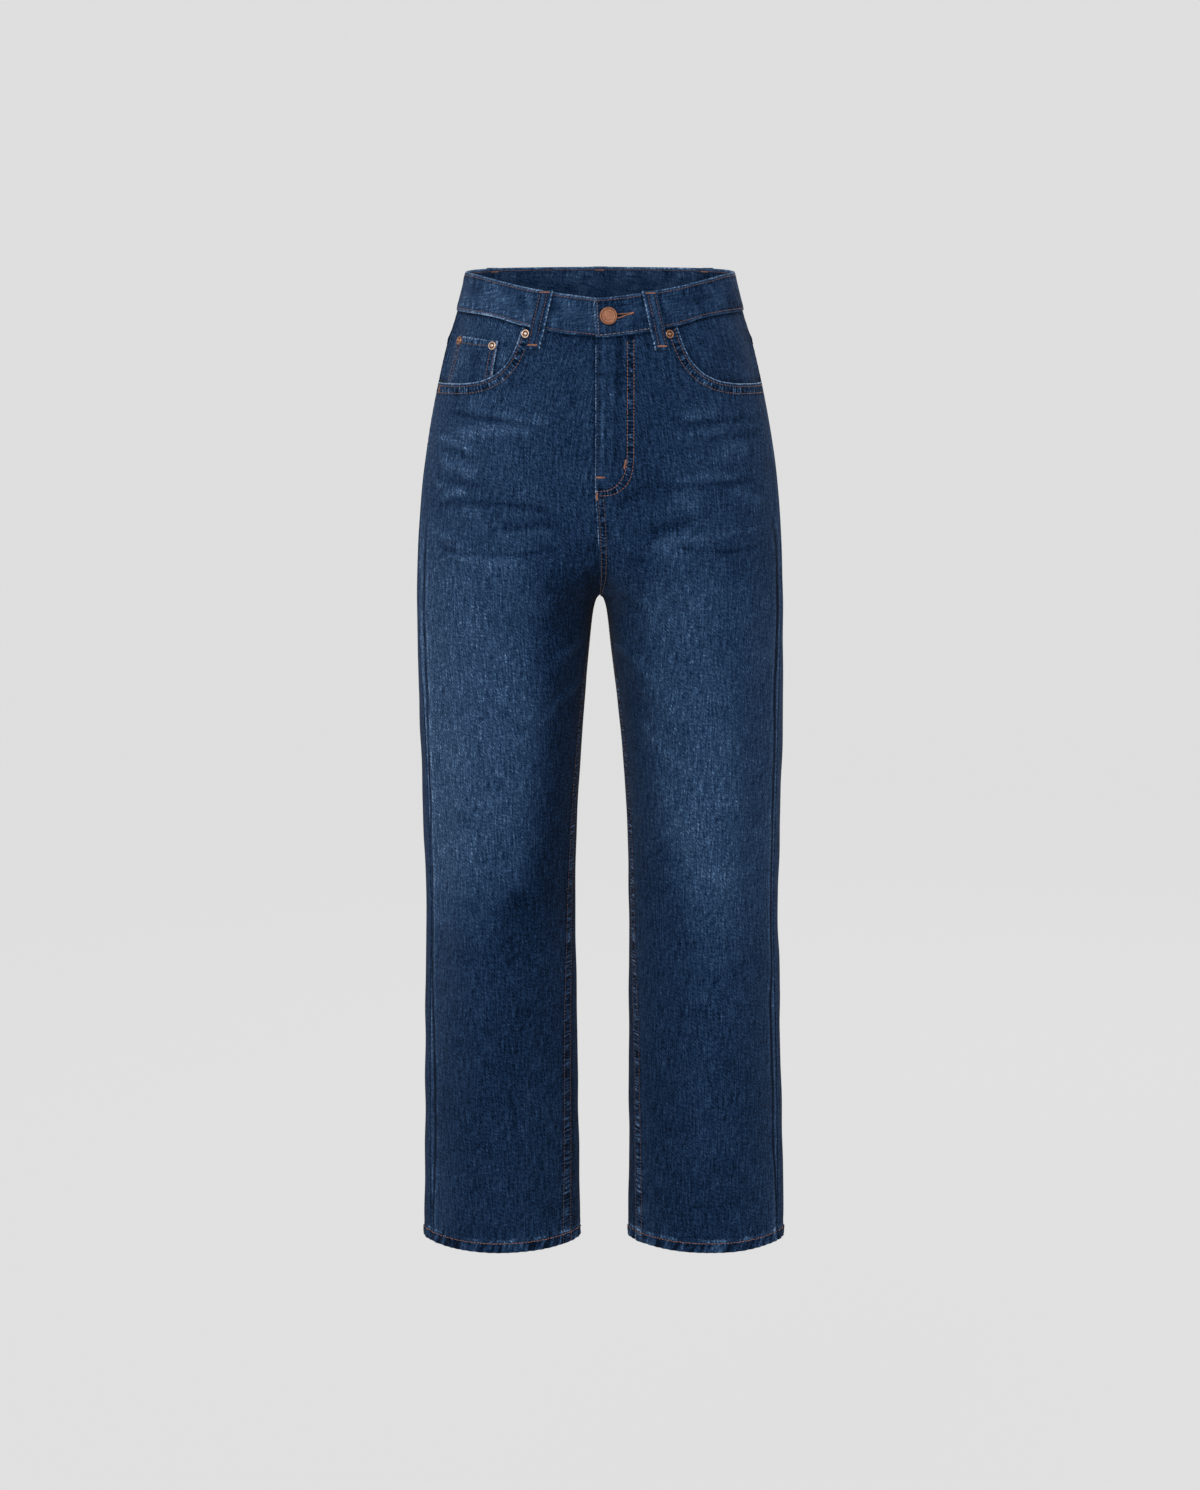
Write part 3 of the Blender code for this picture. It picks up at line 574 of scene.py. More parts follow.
class Paint:
    def __init__(self, name, **constants):
        self.material = bpy.data.materials.new(name)
        self.material.use_nodes = True
        self.tree = self.material.node_tree
        self.shader = self.tree.nodes["Principled BSDF"]
        for socket, value in constants.items():
            self.shader.inputs[socket.replace("_", " ")].default_value = value

    def add(self, kind, settings=None, inputs=None, output=0):
        node = self.tree.nodes.new(kind)
        for name, value in (settings or {}).items():
            if name == "stops":
                ramp = node.color_ramp.elements
                while len(ramp) < len(value):
                    ramp.new(0.5)
                for element, (place, colour) in zip(ramp, value):
                    element.position, element.color = place, colour
            else:
                setattr(node, name, value)
        for name, value in (inputs or {}).items():
            if isinstance(value, Wire):
                self.tree.links.new(value.socket, node.inputs[name])
            else:
                node.inputs[name].default_value = value
        return Wire(self, node.outputs[output])

    def stored(self, label):
        return self.add("ShaderNodeAttribute", dict(attribute_name=label), output=2)

    def noise(self, place, scale, detail=2.0, stretch=(1, 1, 1), roughness=0.55):
        at = self.add("ShaderNodeVectorMath", dict(operation="MULTIPLY"), {0: place, 1: stretch})
        sizes = {"Vector": at, "Scale": scale, "Detail": detail, "Roughness": roughness}
        return self.add("ShaderNodeTexNoise", {}, sizes)

    def turned(self, place, angle):
        return self.add("ShaderNodeVectorRotate", dict(rotation_type="Z_AXIS"), {"Vector": place, "Angle": angle})

    def rise(self, value, start, end):
        # 0 up to the start and 1 from the end on, with a smooth step between
        spans = {0: value, 1: start, 2: end}
        return self.add("ShaderNodeMapRange", dict(interpolation_type="SMOOTHSTEP"), spans)

    def mix(self, share, first, second):
        return self.add("ShaderNodeMix", dict(data_type="RGBA"), {0: share, 6: first, 7: second}, output=2)

    def bump(self, height, strength, distance):
        return self.add("ShaderNodeBump", {}, {"Strength": strength, "Distance": distance, "Height": height})

    def feed(self, **links):
        for socket, wire in links.items():
            self.tree.links.new(wire.socket, self.shader.inputs[socket.replace("_", " ")])
        return self.material


def linear(red, green, blue):
    # screen values from 0 to 255 as linear light
    values = [c / 255 for c in (red, green, blue)]
    return tuple(c / 12.92 if c < 0.04045 else ((c + 0.055) / 1.055) ** 2.4 for c in values) + (1,)


denim = dict(
    shades=(
        (0.0, (2, 15, 33)),
        (0.16, (11, 31, 56)),
        (0.34, (25, 46, 75)),
        (0.5, (38, 60, 88)),
        (0.66, (51, 76, 107)),
        (0.84, (80, 108, 142)),
        (1.0, (134, 156, 184)),
    ),
    inside=(150, 161, 180),
    heather=0.85,
    slub=0.95,
    weft=0.4,
    twill=0.16,
    strokes=1.2,
    broad=0.15,
    ladder=0.44,
    rowShade=0.16,
    hem=0.46,
    hemRow=(-0.9482, -0.9466),
    hemTop=(-0.946, -0.936),
)


def ladderMarks(paint, seam):
    # puckers between two rows of stitches, on a map whose second number is 0 at one row and 1 at the other
    at = paint.add("ShaderNodeUVMap", dict(uv_map=seam))
    far = paint.add("ShaderNodeSeparateXYZ", {}, {0: at}, output=1)
    blocks = ((paint.noise(at, 1, 1.0, (620, 0.7, 1)) - 0.5) * 2.8 + 0.5).clipped() * 2 - 1
    between = paint.rise(far, -0.35, 0.1) * (1 - paint.rise(far, 0.9, 1.4))
    rows = (1 - far.size() * 7).clipped() + (1 - (far - 1).size() * 7).clipped()
    return blocks * between, between, rows


def makeDenim(name, insideShare=1.0, coarse=1.0, puckered=1.0):
    paint = Paint(name, Roughness=0.88, Specular_IOR_Level=0.04, Sheen_Weight=0.02, Sheen_Roughness=0.5)
    place = paint.add("ShaderNodeUVMap", dict(uv_map="cloth"))
    tone, wear, inside = (paint.stored(label) for label in ("tone", "wear", "inside"))
    heather = paint.noise(place, 760, 1.0, (1, 0.75, 1)) - 0.5
    slub = paint.noise(place, 1, 1.0, (680, 56, 1)) - 0.5
    broad = paint.noise(place, 1, 1.0, (230, 16, 1)) - 0.5
    weft = paint.noise(place, 1, 1.0, (110, 800, 1)) - 0.5
    turned = paint.turned(place, 0.72)
    wave = {"Vector": turned, "Scale": 285, "Distortion": 1.2, "Detail": 1.0, "Detail Scale": 1.5}
    twill = paint.add("ShaderNodeTexWave", dict(wave_type="BANDS", bands_direction="X"), wave, output=1) - 0.5
    strokes = paint.noise(turned, 1, 1.0, (760, 230, 1)) - 0.5
    grainy = denim["heather"] * heather + denim["slub"] * slub + denim["weft"] * weft + denim["twill"] * twill
    grainy += denim["strokes"] * strokes
    grainy += denim["broad"] * broad
    worn = ((1.2 * wear + 1.2 * heather + 0.9 * strokes - 0.46) * 2.0).clipped()
    first, firstBand, firstRows = ladderMarks(paint, "seamA")
    second, secondBand, secondRows = ladderMarks(paint, "seamB")
    height = paint.add("ShaderNodeSeparateXYZ", {}, {0: place}, output=1)
    slanted = paint.turned(place, -0.4)
    hem = (paint.noise(slanted, 1, 1.0, (190, 26, 1)) - 0.5) * 4.0
    hem = (hem * 0.5 + 0.5).clipped() * 2 - 1
    hem = hem * (1 - 0.65 * paint.rise(height, *denim["hemRow"])) * (1 - paint.rise(height, *denim["hemTop"]))
    marks = denim["ladder"] * (first + second) - 0.05 * (firstBand + secondBand)
    # the stitch rows darkened as painted shade, where the cloth dips into them
    marks = puckered * (marks - denim["rowShade"] * (firstRows + secondRows)) + denim["hem"] * hem
    level = (tone + grainy * (0.66 + 0.3 * tone) * coarse + marks + 0.3 * worn).clipped()
    stops = [(where, linear(*colour)) for where, colour in denim["shades"]]
    face = paint.add("ShaderNodeValToRGB", dict(stops=stops), {0: level})
    back = linear(*denim["inside"])
    paleSide = paint.mix((grainy * 1.6 + 0.5).clipped(), tuple(0.42 * c for c in back), back)
    colour = paint.mix(inside * insideShare, face, paleSide)
    relief = 0.5 * heather + 0.5 * slub + 0.35 * weft + 0.3 * twill
    relief += puckered * (0.45 * (first + second) - 0.45 * (firstRows + secondRows))
    relief += 0.6 * hem
    return paint.feed(Base_Color=colour, Normal=paint.bump(relief, 0.6, 0.0006))


threadShades = dict(
    copper=((160, 104, 74), (98, 66, 54)),
    tonal=((150, 134, 130), (88, 78, 82)),
    brown=((122, 82, 64), (72, 52, 48)),
    # the brown thread made darker, as painted shade, for the inseams and crotch seam
    shadedBrown=((92, 66, 60), (54, 44, 50)),
    navy=((34, 40, 58), (18, 26, 44)),
)


def makeThread(name):
    paint = Paint(name, Roughness=0.62, Sheen_Weight=0.2)
    place = paint.add("ShaderNodeTexCoord", {}, output=3)
    pale, dark = threadShades[name]
    share = (paint.noise(place, 260, 2.0) * 2.4 - 0.7).clipped()
    twist = paint.noise(place, 2600, 1.0)
    return paint.feed(
        Base_Color=paint.mix(share, linear(*dark), linear(*pale)), Normal=paint.bump(twist, 0.5, 0.0002)
    )


def makeMetal(name, pale, dark, roughness):
    paint = Paint(name, Metallic=1.0)
    place = paint.add("ShaderNodeTexCoord", {}, output=3)
    stain = (paint.noise(place, 700, 3.0) * 2.2 - 0.6).clipped()
    scratch = paint.noise(place, 1, 2.0, (900, 5200, 2600))
    rough = roughness + 0.16 * stain + 0.1 * scratch
    colour = paint.mix(stain, linear(*pale), linear(*dark))
    return paint.feed(Base_Color=colour, Roughness=rough, Normal=paint.bump(scratch, 0.12, 0.0001))


materials = dict(
    denim=makeDenim("denim"),
    bandDenim=makeDenim("bandDenim", 0.0, 0.8, 0.3),
    patchDenim=makeDenim("patchDenim", 1.0, 1.0, 0.55),
    copperThread=makeThread("copper"),
    tonalThread=makeThread("tonal"),
    brownThread=makeThread("brown"),
    shadedBrownThread=makeThread("shadedBrown"),
    navyThread=makeThread("navy"),
    copper=makeMetal("copper", (158, 112, 88), (132, 90, 72), 0.4),
    brass=makeMetal("brass", (226, 203, 187), (184, 150, 130), 0.28),
    # the brass made darker, as painted shade, for the rivets that lie in shade
    shadedBrass=makeMetal("shadedBrass", (176, 132, 106), (118, 84, 68), 0.34),
    # painted shade for the sunken rings of the button and rivets
    recessShade=makeMetal("recessShade", (104, 72, 56), (58, 42, 36), 0.45),
)
print("materials ready")


def spaced(*spans):
    # numbers from span to span, each span's start, end and spacing
    out = [spans[0][0]]
    for start, end, spacing in spans:
        out += list(np.linspace(start, end, max(1, round(abs(end - start) / spacing)) + 1)[1:])
    return np.array(out)


def grid(across, down):
    return [a.copy() for a in np.broadcast_arrays(across, down)]


def added(shape, more, share=1):
    # a shape's lift, tone and wear with another's, at a share
    return [a + b * share for a, b in zip(shape, more)]


def quads(index):
    # the faces of a grid of vertex numbers
    corners = index[:-1, :-1], index[1:, :-1], index[1:, 1:], index[:-1, 1:]
    return np.stack(corners, axis=-1).reshape(-1, 4)


def placeMesh(name, mesh, material):
    mesh.materials.append(materials[material])
    mesh.shade_smooth()
    obj = bpy.data.objects.new(name, mesh)
    scene.collection.objects.link(obj)
    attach(obj, "root")
    return obj


def everySecond(count):
    kept = list(range(0, count, 2))
    return np.array(kept if kept[-1] == count - 1 else kept + [count - 1])


farOff = 9.0
noSeam = (0.0, farOff)


def alongSeam(distance, along, rows):
    # metres along a seam, and 0 at its first row of stitches to 1 at its last
    return along, (distance - rows[0]) / (rows[1] - rows[0])


shell = dict(rounding=0.45, wornReach=0.0014)


def makeCloth(
        name, turns, heights, lift, wall, tone, wear, uv, material="denim", replaced=None, edgeWear=0.3,
        seamA=noSeam, seamB=noSeam
):
    # a thin closed shell: a fine outer face, a coarser inner face, and rounded edges between them
    shape = turns.shape
    lift, wall, tone, wear = (np.broadcast_to(a, shape).astype(float) for a in (lift, wall, tone, wear))
    maps = [np.broadcast_to(a, shape) for pair in (uv, seamA, seamB) for a in pair]
    if turns[0, 0] > turns[0, 1]:
        flipped = (a[:, ::-1] for a in (turns, heights, lift, wall, tone, wear, *maps))
        turns, heights, lift, wall, tone, wear, *maps = flipped
    points = surface.at(turns, heights, lift)
    across = np.zeros(shape)
    across[:, 1:] = np.cumsum(np.linalg.norm(np.diff(points, axis=1), axis=2), axis=1)
    down = np.zeros(shape)
    down[1:] = np.cumsum(np.linalg.norm(np.diff(points, axis=0), axis=2), axis=0)
    edge = np.minimum(np.minimum(across, across[:, -1:] - across), np.minimum(down, down[-1:] - down))
    radius = wall * shell["rounding"]
    cornered = radius - np.sqrt(np.maximum(radius**2 - np.maximum(radius - edge, 0) ** 2, 0))
    wear = wear + edgeWear * (1 - ease(edge / shell["wornReach"]))
    rows, cols = everySecond(shape[0]), everySecond(shape[1])
    sub = np.ix_(rows, cols)
    outer = surface.at(turns, heights, lift - cornered)
    inner = surface.at(turns[sub], heights[sub], (lift - wall + cornered)[sub])
    index = np.arange(shape[0] * shape[1]).reshape(shape)
    under = shape[0] * shape[1] + np.arange(len(rows) * len(cols)).reshape(len(rows), len(cols))
    faces = quads(index).tolist() + quads(under)[:, [0, 3, 2, 1]].tolist()
    rims = (
        (index[0], under[0], cols, False),
        (index[-1], under[-1], cols, True),
        (index[:, 0], under[:, 0], rows, True),
        (index[:, -1], under[:, -1], rows, False),
    )
    for above, below, kept, flip in rims:
        for k in range(len(kept) - 1):
            ring = [*above[kept[k] : kept[k + 1] + 1].tolist(), int(below[k + 1]), int(below[k])]
            faces.append(ring[::-1] if flip else ring)
    mesh = bpy.data.meshes.new(name)
    mesh.from_pydata(joined(outer.reshape(-1, 3), inner.reshape(-1, 3)).tolist(), [], faces)
    corners = np.zeros(len(mesh.loops), int)
    mesh.loops.foreach_get("vertex_index", corners)
    for label, pair in (("cloth", maps[:2]), ("seamA", maps[2:4]), ("seamB", maps[4:])):
        flat = np.stack([joined(a.ravel(), a[sub].ravel()) for a in pair], axis=-1)
        mesh.uv_layers.new(name=label).data.foreach_set("uv", flat[corners].ravel())
    inside = joined(np.zeros(index.size), np.ones(under.size))
    values = dict(
        tone=joined(tone.ravel(), tone[sub].ravel()), wear=joined(wear.ravel(), 0 * wear[sub].ravel()),
        inside=inside
    )
    for label, array in values.items():
        mesh.attributes.new(label, "FLOAT", "POINT").data.foreach_set("value", array)
    obj = placeMesh(name, mesh, material)
    if replaced:
        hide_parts(replaced)


# Creases: side, half width, lift, tone, then points as x and height; ridges have a lift above 0, troughs below. A
# tone above 0 is the paler fade along a whisker's ridge; a tone below 0 is painted shade in a trough
frontCreases = (
    (-1, 20, -11, -17, 148, -112, 108, -119, 74, -122, 38, -129),
    (-1, 45, 8, 12, 128, -106, 108, -104),
    (-1, 32, 7, 13, 105, -115, 75, -117.5, 43, -121),
    (-1, 34, 10, 13, 146, -134, 115, -130, 76, -128, 50, -131),
    (-1, 20, 9, 15, 158, -136, 135, -143, 118, -152),
    (-1, 22, -9, -12, 153, -148, 138, -151, 125, -156),
    (-1, 34, 12, 15, 157, -157, 135, -165, 111, -174),
    (-1, 30, -10, -11, 158, -174, 130, -180, 105, -184),
    (-1, 19, 9, 14, 165, -177, 145, -186, 123, -188),
    (-1, 19, 8, 12, 123, -188, 145, -193, 158, -199),
    (-1, 26, -12, -15, 162, -205, 135, -198, 105, -198, 67, -201, 36, -210),
    (-1, 48, 10, 10, 150, -208, 130, -207, 105, -209),
    (-1, 44, -13, -13, 103, -220, 68, -217, 33, -220),
    (-1, 16, 6, 9, 103, -229, 67, -225, 32, -222),
    (-1, 26, 8, 10, 165, -228, 139, -231),
    (-1, 22, -11, -14, 163, -238, 135, -245, 91, -247, 48, -241, 27, -238),
    (-1, 42, 11, 13, 146, -250, 110, -253, 67, -248),
    (1, 20, -11, -16, 71, -126, 100, -121, 125, -119, 152, -118),
    (1, 30, 8, 12, 76, -118, 98, -113, 117, -111),
    (1, 24, 8, 12, 68, -132, 100, -131, 129, -128),
    (1, 26, -10, -13, 95, -140, 128, -134, 160, -132),
    (1, 44, 11, 13, 112, -154, 128, -148, 144, -141),
    (1, 20, 9, 12, 69, -177, 105, -172, 137, -173),
    (1, 22, -9, -12, 65, -181, 117, -180, 154, -177),
    (1, 32, 10, 12, 122, -185, 140, -193, 160, -202),
    (1, 50, 9, 10, 64, -193, 82, -198, 98, -203),
    (1, 48, -13, -15, 45, -226, 69, -217, 94, -214),
    (1, 32, 9, 11, 52, -234, 80, -231, 110, -230),
    (1, 16, 6, 10, 108, -229, 135, -226, 162, -224),
    (1, 20, -11, -14, 65, -233, 88, -241, 129, -244, 163, -238),
    (1, 44, 13, 10, 44, -238, 67, -246, 94, -250),
    (1, 46, -10, -11, 68, -171, 38, -187, 8, -205),
    (1, 52, -10, -10, 26, -246, 44, -255),
    (1, 34, -10, -12, 4, -264, 11, -288),
    (-1, 34, -10, -12, 15, -260, 8, -287),
    (-1, 28, 10, 10, 17, -336, 39, -347, 60, -373),
    (-1, 28, 10, 9, 15, -374, 34, -388, 57, -414, 99, -441),
    (-1, 55, -10, -9, 98, -569, 76, -598),
    (-1, 30, -10, -8, 91, -775, 85, -817, 76, -865),
    (1, 28, 10, 10, 13, -338, 34, -352, 58, -378),
    (1, 30, 10, 9, 37, -411, 58, -435, 79, -457),
    (1, 40, -9, -7, 17, -288, 45, -309),
    (-1, 75, 12, 3, 60, -455, 100, -500, 130, -560),
    (1, 80, 12, 3, 50, -470, 90, -520, 125, -590),
    (-1, 60, -10, -4, 145, -640, 110, -655, 75, -650),
    (1, 60, -10, -4, 150, -655, 112, -668, 80, -660),
    (-1, 50, 10, 4, 60, -700, 75, -780, 70, -850),
    (1, 55, 10, 4, 110, -720, 100, -800, 105, -890),
    (-1, 45, -9, -5, 140, -885, 100, -902, 60, -898),
    (1, 45, -9, -5, 150, -892, 110, -908, 60, -902),
)
backCreases = (
    (-1, 50, 16, 10, 40, -285, 75, -268, 120, -262, 160, -268),
    (-1, 50, -15, -11, 30, -298, 70, -284, 115, -278, 158, -284),
    (-1, 46, 14, 9, 35, -312, 75, -300, 115, -297),
    (-1, 44, -12, -9, 30, -330, 70, -322, 110, -325),
    (-1, 40, 12, 7, 28, -352, 60, -348, 95, -357),
    (-1, 32, -9, -9, 150, -232, 120, -240, 90, -246),
    (-1, 34, 9, 8, 12, -205, 35, -222, 62, -246),
    (-1, 34, -10, -8, 10, -228, 32, -244, 55, -266),
    (-1, 48, 16, 11, 150, -540, 115, -552, 75, -548, 40, -556),
    (-1, 46, -16, -11, 152, -556, 112, -569, 72, -564, 38, -574),
    (-1, 46, 14, 10, 148, -573, 112, -588, 75, -580),
    (-1, 44, -13, -10, 150, -592, 112, -606, 60, -597),
    (-1, 46, 12, 8, 142, -612, 105, -624, 55, -614),
    (-1, 50, -10, -5, 130, -880, 95, -898, 55, -890),
    (1, 50, 16, 10, 38, -280, 78, -264, 124, -259, 162, -266),
    (1, 50, -15, -11, 30, -294, 74, -280, 118, -275, 160, -281),
    (1, 46, 14, 9, 36, -309, 78, -296, 120, -294),
    (1, 44, -12, -9, 30, -327, 74, -317, 116, -322),
    (1, 40, 12, 7, 30, -350, 64, -344, 100, -355),
    (1, 32, -9, -9, 152, -226, 124, -236, 92, -242),
    (1, 34, 9, 8, 14, -209, 38, -226, 66, -248),
    (1, 34, -10, -8, 12, -232, 35, -248, 60, -268),
    (1, 48, 16, 11, 156, -562, 118, -574, 78, -568, 44, -577),
    (1, 46, -16, -11, 157, -577, 116, -591, 76, -585, 42, -594),
    (1, 46, 14, 10, 154, -594, 116, -609, 80, -601),
    (1, 44, -13, -10, 155, -612, 116, -627, 66, -618),
    (1, 46, 12, 8, 150, -632, 112, -645, 62, -634),
    (1, 50, -10, -5, 140, -884, 104, -902, 62, -893),
)


def fromSideAt(side, back, x, z):
    # metres of cloth from the side seam to a place given by its x and height
    turns = np.linspace(1, 2, 160) if back else np.linspace(0, 1, 160)
    seen = surface.at(turns * side, z, plainShape=True)[:, 0] * side
    far = surface.fromSide(turns, np.full(160, z))
    order = np.argsort(seen)
    return float(np.interp(x, seen[order], far[order]))


def creased(table, side, back, o, z):
    lift, tone = np.zeros(z.shape), np.zeros(z.shape)
    for number, (hand, wide, high, shade, *path) in enumerate(table):
        if hand != side:
            continue
        wide, high, shade = wide / 10000, high / 10000, shade / 100
        line = bend([(fromSideAt(side, back, x, height), height) for x, height in np.reshape(path, (-1, 2)) / 1000])
        reach = 5 * wide
        (lowO, lowZ), (highO, highZ) = line.min(axis=0) - reach, line.max(axis=0) + reach
        near = (o > lowO) & (o < highO) & (z > lowZ) & (z < highZ)
        if not near.any():
            continue
        far, along, share = nearLine(o[near], z[near], line)
        off = far + wide * 0.5 * grain(along, number * 0.37, 0.014, number)
        uneven = 0.92 + 0.18 * grain(along, number * 0.91, 0.018, number + 3)
        taper = ease(share / 0.18) * ease((1 - share) / 0.22) * uneven
        spread = wide * (1.95 if shade > 0 else 1.25)
        ridge = bell(off, wide * 1.25) - 0.3 * bell(np.abs(off) - 2.4 * wide, wide * 1.2)
        lift[near] += high * taper * ridge
        # pale fade along ridges, painted shade along troughs
        tone[near] += (1.22 if shade > 0 else 1.1) * shade * taper * bell(off, spread)
    return lift, tone


frontTone = scaled(
    (100, 100),
    (3, 33), (-6, 28), (-12, 30), (-17, 29), (-22, 28), (-29, 26), (-45, 26), (-60, 26), (-70, 25), (-80, 23),
    (-96, 23),
)
backTone = scaled(
    (100, 100),
    (3, 34), (-8, 36), (-18, 38), (-26, 34), (-34, 32), (-50, 30), (-62, 27), (-80, 23), (-96, 22),
)
# Thigh fades: height, then the x of the inner and outer edge, and the strength
thighFade = {
    -1: scaled(
        (1000, 1000, 1000, 100),
        (-40, 40, 190, 5), (-90, 40, 190, 10), (-190, 50, 190, 9), (-250, 60, 190, 19), (-300, 58, 190, 24),
        (-420, 60, 190, 29), (-530, 63, 190, 26), (-565, 78, 190, 24), (-600, 100, 190, 20), (-640, 112, 190, 9),
        (-690, 115, 190, 2), (-740, 115, 190, 0),
    ),
    1: scaled(
        (1000, 1000, 1000, 100),
        (-40, 80, 150, 2), (-200, 70, 140, 3), (-250, 48, 116, 10), (-300, 44, 112, 13), (-420, 46, 132, 15),
        (-490, 58, 136, 15), (-550, 74, 136, 17), (-590, 86, 136, 12), (-640, 90, 140, 6), (-700, 90, 140, 2),
        (-760, 90, 140, 0),
    ),
}
# Where the dark line in front of the side seam lies: height, and how far in from the leg's widest point
pressedEdge = {
    -1: scaled(
        (1000, 10000),
        (-200, 90), (-332, 98), (-402, 103), (-473, 103), (-554, 84), (-637, 79), (-741, 108), (-846, 120),
        (-920, 106), (-960, 100),
    ),
    1: scaled(
        (1000, 10000),
        (-200, 74), (-332, 82), (-402, 104), (-473, 104), (-554, 94), (-637, 89), (-741, 115), (-846, 116),
        (-920, 90), (-960, 86),
    ),
}
seams = dict(
    inseamRows={1: (0.0026, 0.0124), -1: (0.006, 0.0178)},
    crotchRows=(0.0026, 0.0079),
    mouthRows=(0.003, 0.0096),
    yokeRows=(0.0018, 0.0082),
    seatRows=(0.0018, 0.0082),
    felled=0.0006,
    ladder=0.00028,
    busted=0.0004,
    flyWidth=0.034,
    flyBottom=-0.189,
    flyStep=0.004,
    flyFoot=-0.191,
)
fly = dict(
    inner=scaled(
        (10000, 10000),
        (260, -440), (260, -1480), (253, -1600), (222, -1712), (160, -1800), (70, -1848), (-42, -1857),
    ),
    outer=scaled(
        (10000, 10000),
        (322, -420), (322, -1500), (312, -1640), (272, -1765), (190, -1852), (85, -1893), (-42, -1899),
    ),
)


def mouthLine(offset=0.0, count=60):
    # the pocket mouth as metres from the centre front and heights, or a line that far outside it
    turns = joined(np.linspace(pocketMouth[0][0], 0.47, 22), np.linspace(0.48, 1.0, count - 22))
    heights = smooth(pocketMouth, turns)
    line = np.stack([surface.fromMiddle(turns, heights), heights], axis=-1)
    tangent = np.gradient(line, axis=0)
    tangent /= np.linalg.norm(tangent, axis=1, keepdims=True)
    return line + offset * np.stack([tangent[:, 1], -tangent[:, 0]], axis=-1)


mouth = mouthLine()
print("lines ready")


def felledBand(distance, along, rows, seed):
    # a felled seam: raised and puckered between two rows of stitches
    first, last = rows
    band = ease((last + 0.0022 - distance) / 0.002)
    dips = bell(distance - first, 0.0009) + bell(distance - last, 0.001)
    between = ease((distance - first + 0.0006) / 0.002) * ease((last - distance + 0.0004) / 0.0022)
    beyond = ease((distance - last) / 0.0008) * ease((last + 0.007 - distance) / 0.006)
    wave = pucker(along, 0.0056, seed)
    lift = seams["felled"] * band - 0.00034 * dips * band + seams["ladder"] * wave * (1.9 * between + 0.9 * beyond)
    # painted shade at the outer edge of the raised band, just beyond its last row
    tone = -0.07 * bell(distance - last - 0.0018, 0.001)
    wear = np.maximum(wave, 0) * 0.2 * between
    return lift, tone, wear


def openSeam(distance, along, seed, front):
    # a seam pressed open: a soft ridge over each allowance, and a groove at the seam
    wave = pucker(along, 0.0082, seed)
    ridge = bell(distance - 0.0034, 0.0021)
    allowance = ease((0.013 - distance) / 0.003) * ease(distance / 0.002)
    lift = seams["busted"] * allowance + 0.0003 * wave * ridge - 0.0004 * bell(distance, 0.001)
    groove = 0.36 - 0.28 * ease((-0.2 - along) / 0.08)
    tone = (
        0.12 * ridge * (0.7 + 0.5 * wave) - groove * bell(distance, 0.0015) - 0.04 * bell(distance - 0.0142, 0.0014)
    )
    if front:
        tone += 0.02 * allowance
    return lift, tone, 0.22 * ridge * np.maximum(wave, 0)


def hemShape(z, along, seed):
    # the turned-up hem, with its roped puckers and the pale wear over its stitched row
    top = cut["hemTop"]
    up = z - cut["hemBottom"]
    inHem = ease((top + 0.0012 - z) / 0.0012)
    wave = pucker(along + 0.45 * up, 0.0092, seed)
    lift = (cut["hemWall"] - cut["denimWall"]) / 3 * inHem + 0.00055 * wave * inHem
    lift -= 0.0003 * bell(up - cut["hemDepth"], 0.0011)
    lift += 0.0003 * wave * bell(up - 0.015, 0.005)
    tone = 0.08 * bell(up - 0.0126, 0.0026) - 0.08 * bell(up - 0.0088, 0.0012)
    broken = np.clip(0.5 + 0.9 * grain(along, 0.3, 0.0065, seed + 5), 0, 1)
    wear = (
        1.0 * broken * bell(up - 0.013, 0.0021) + 0.3 * broken * bell(up, 0.0016)
        + 0.12 * inHem * np.maximum(wave, 0)
    )
    return lift, tone, wear, cut["denimWall"] + (cut["hemWall"] - cut["denimWall"]) * inHem


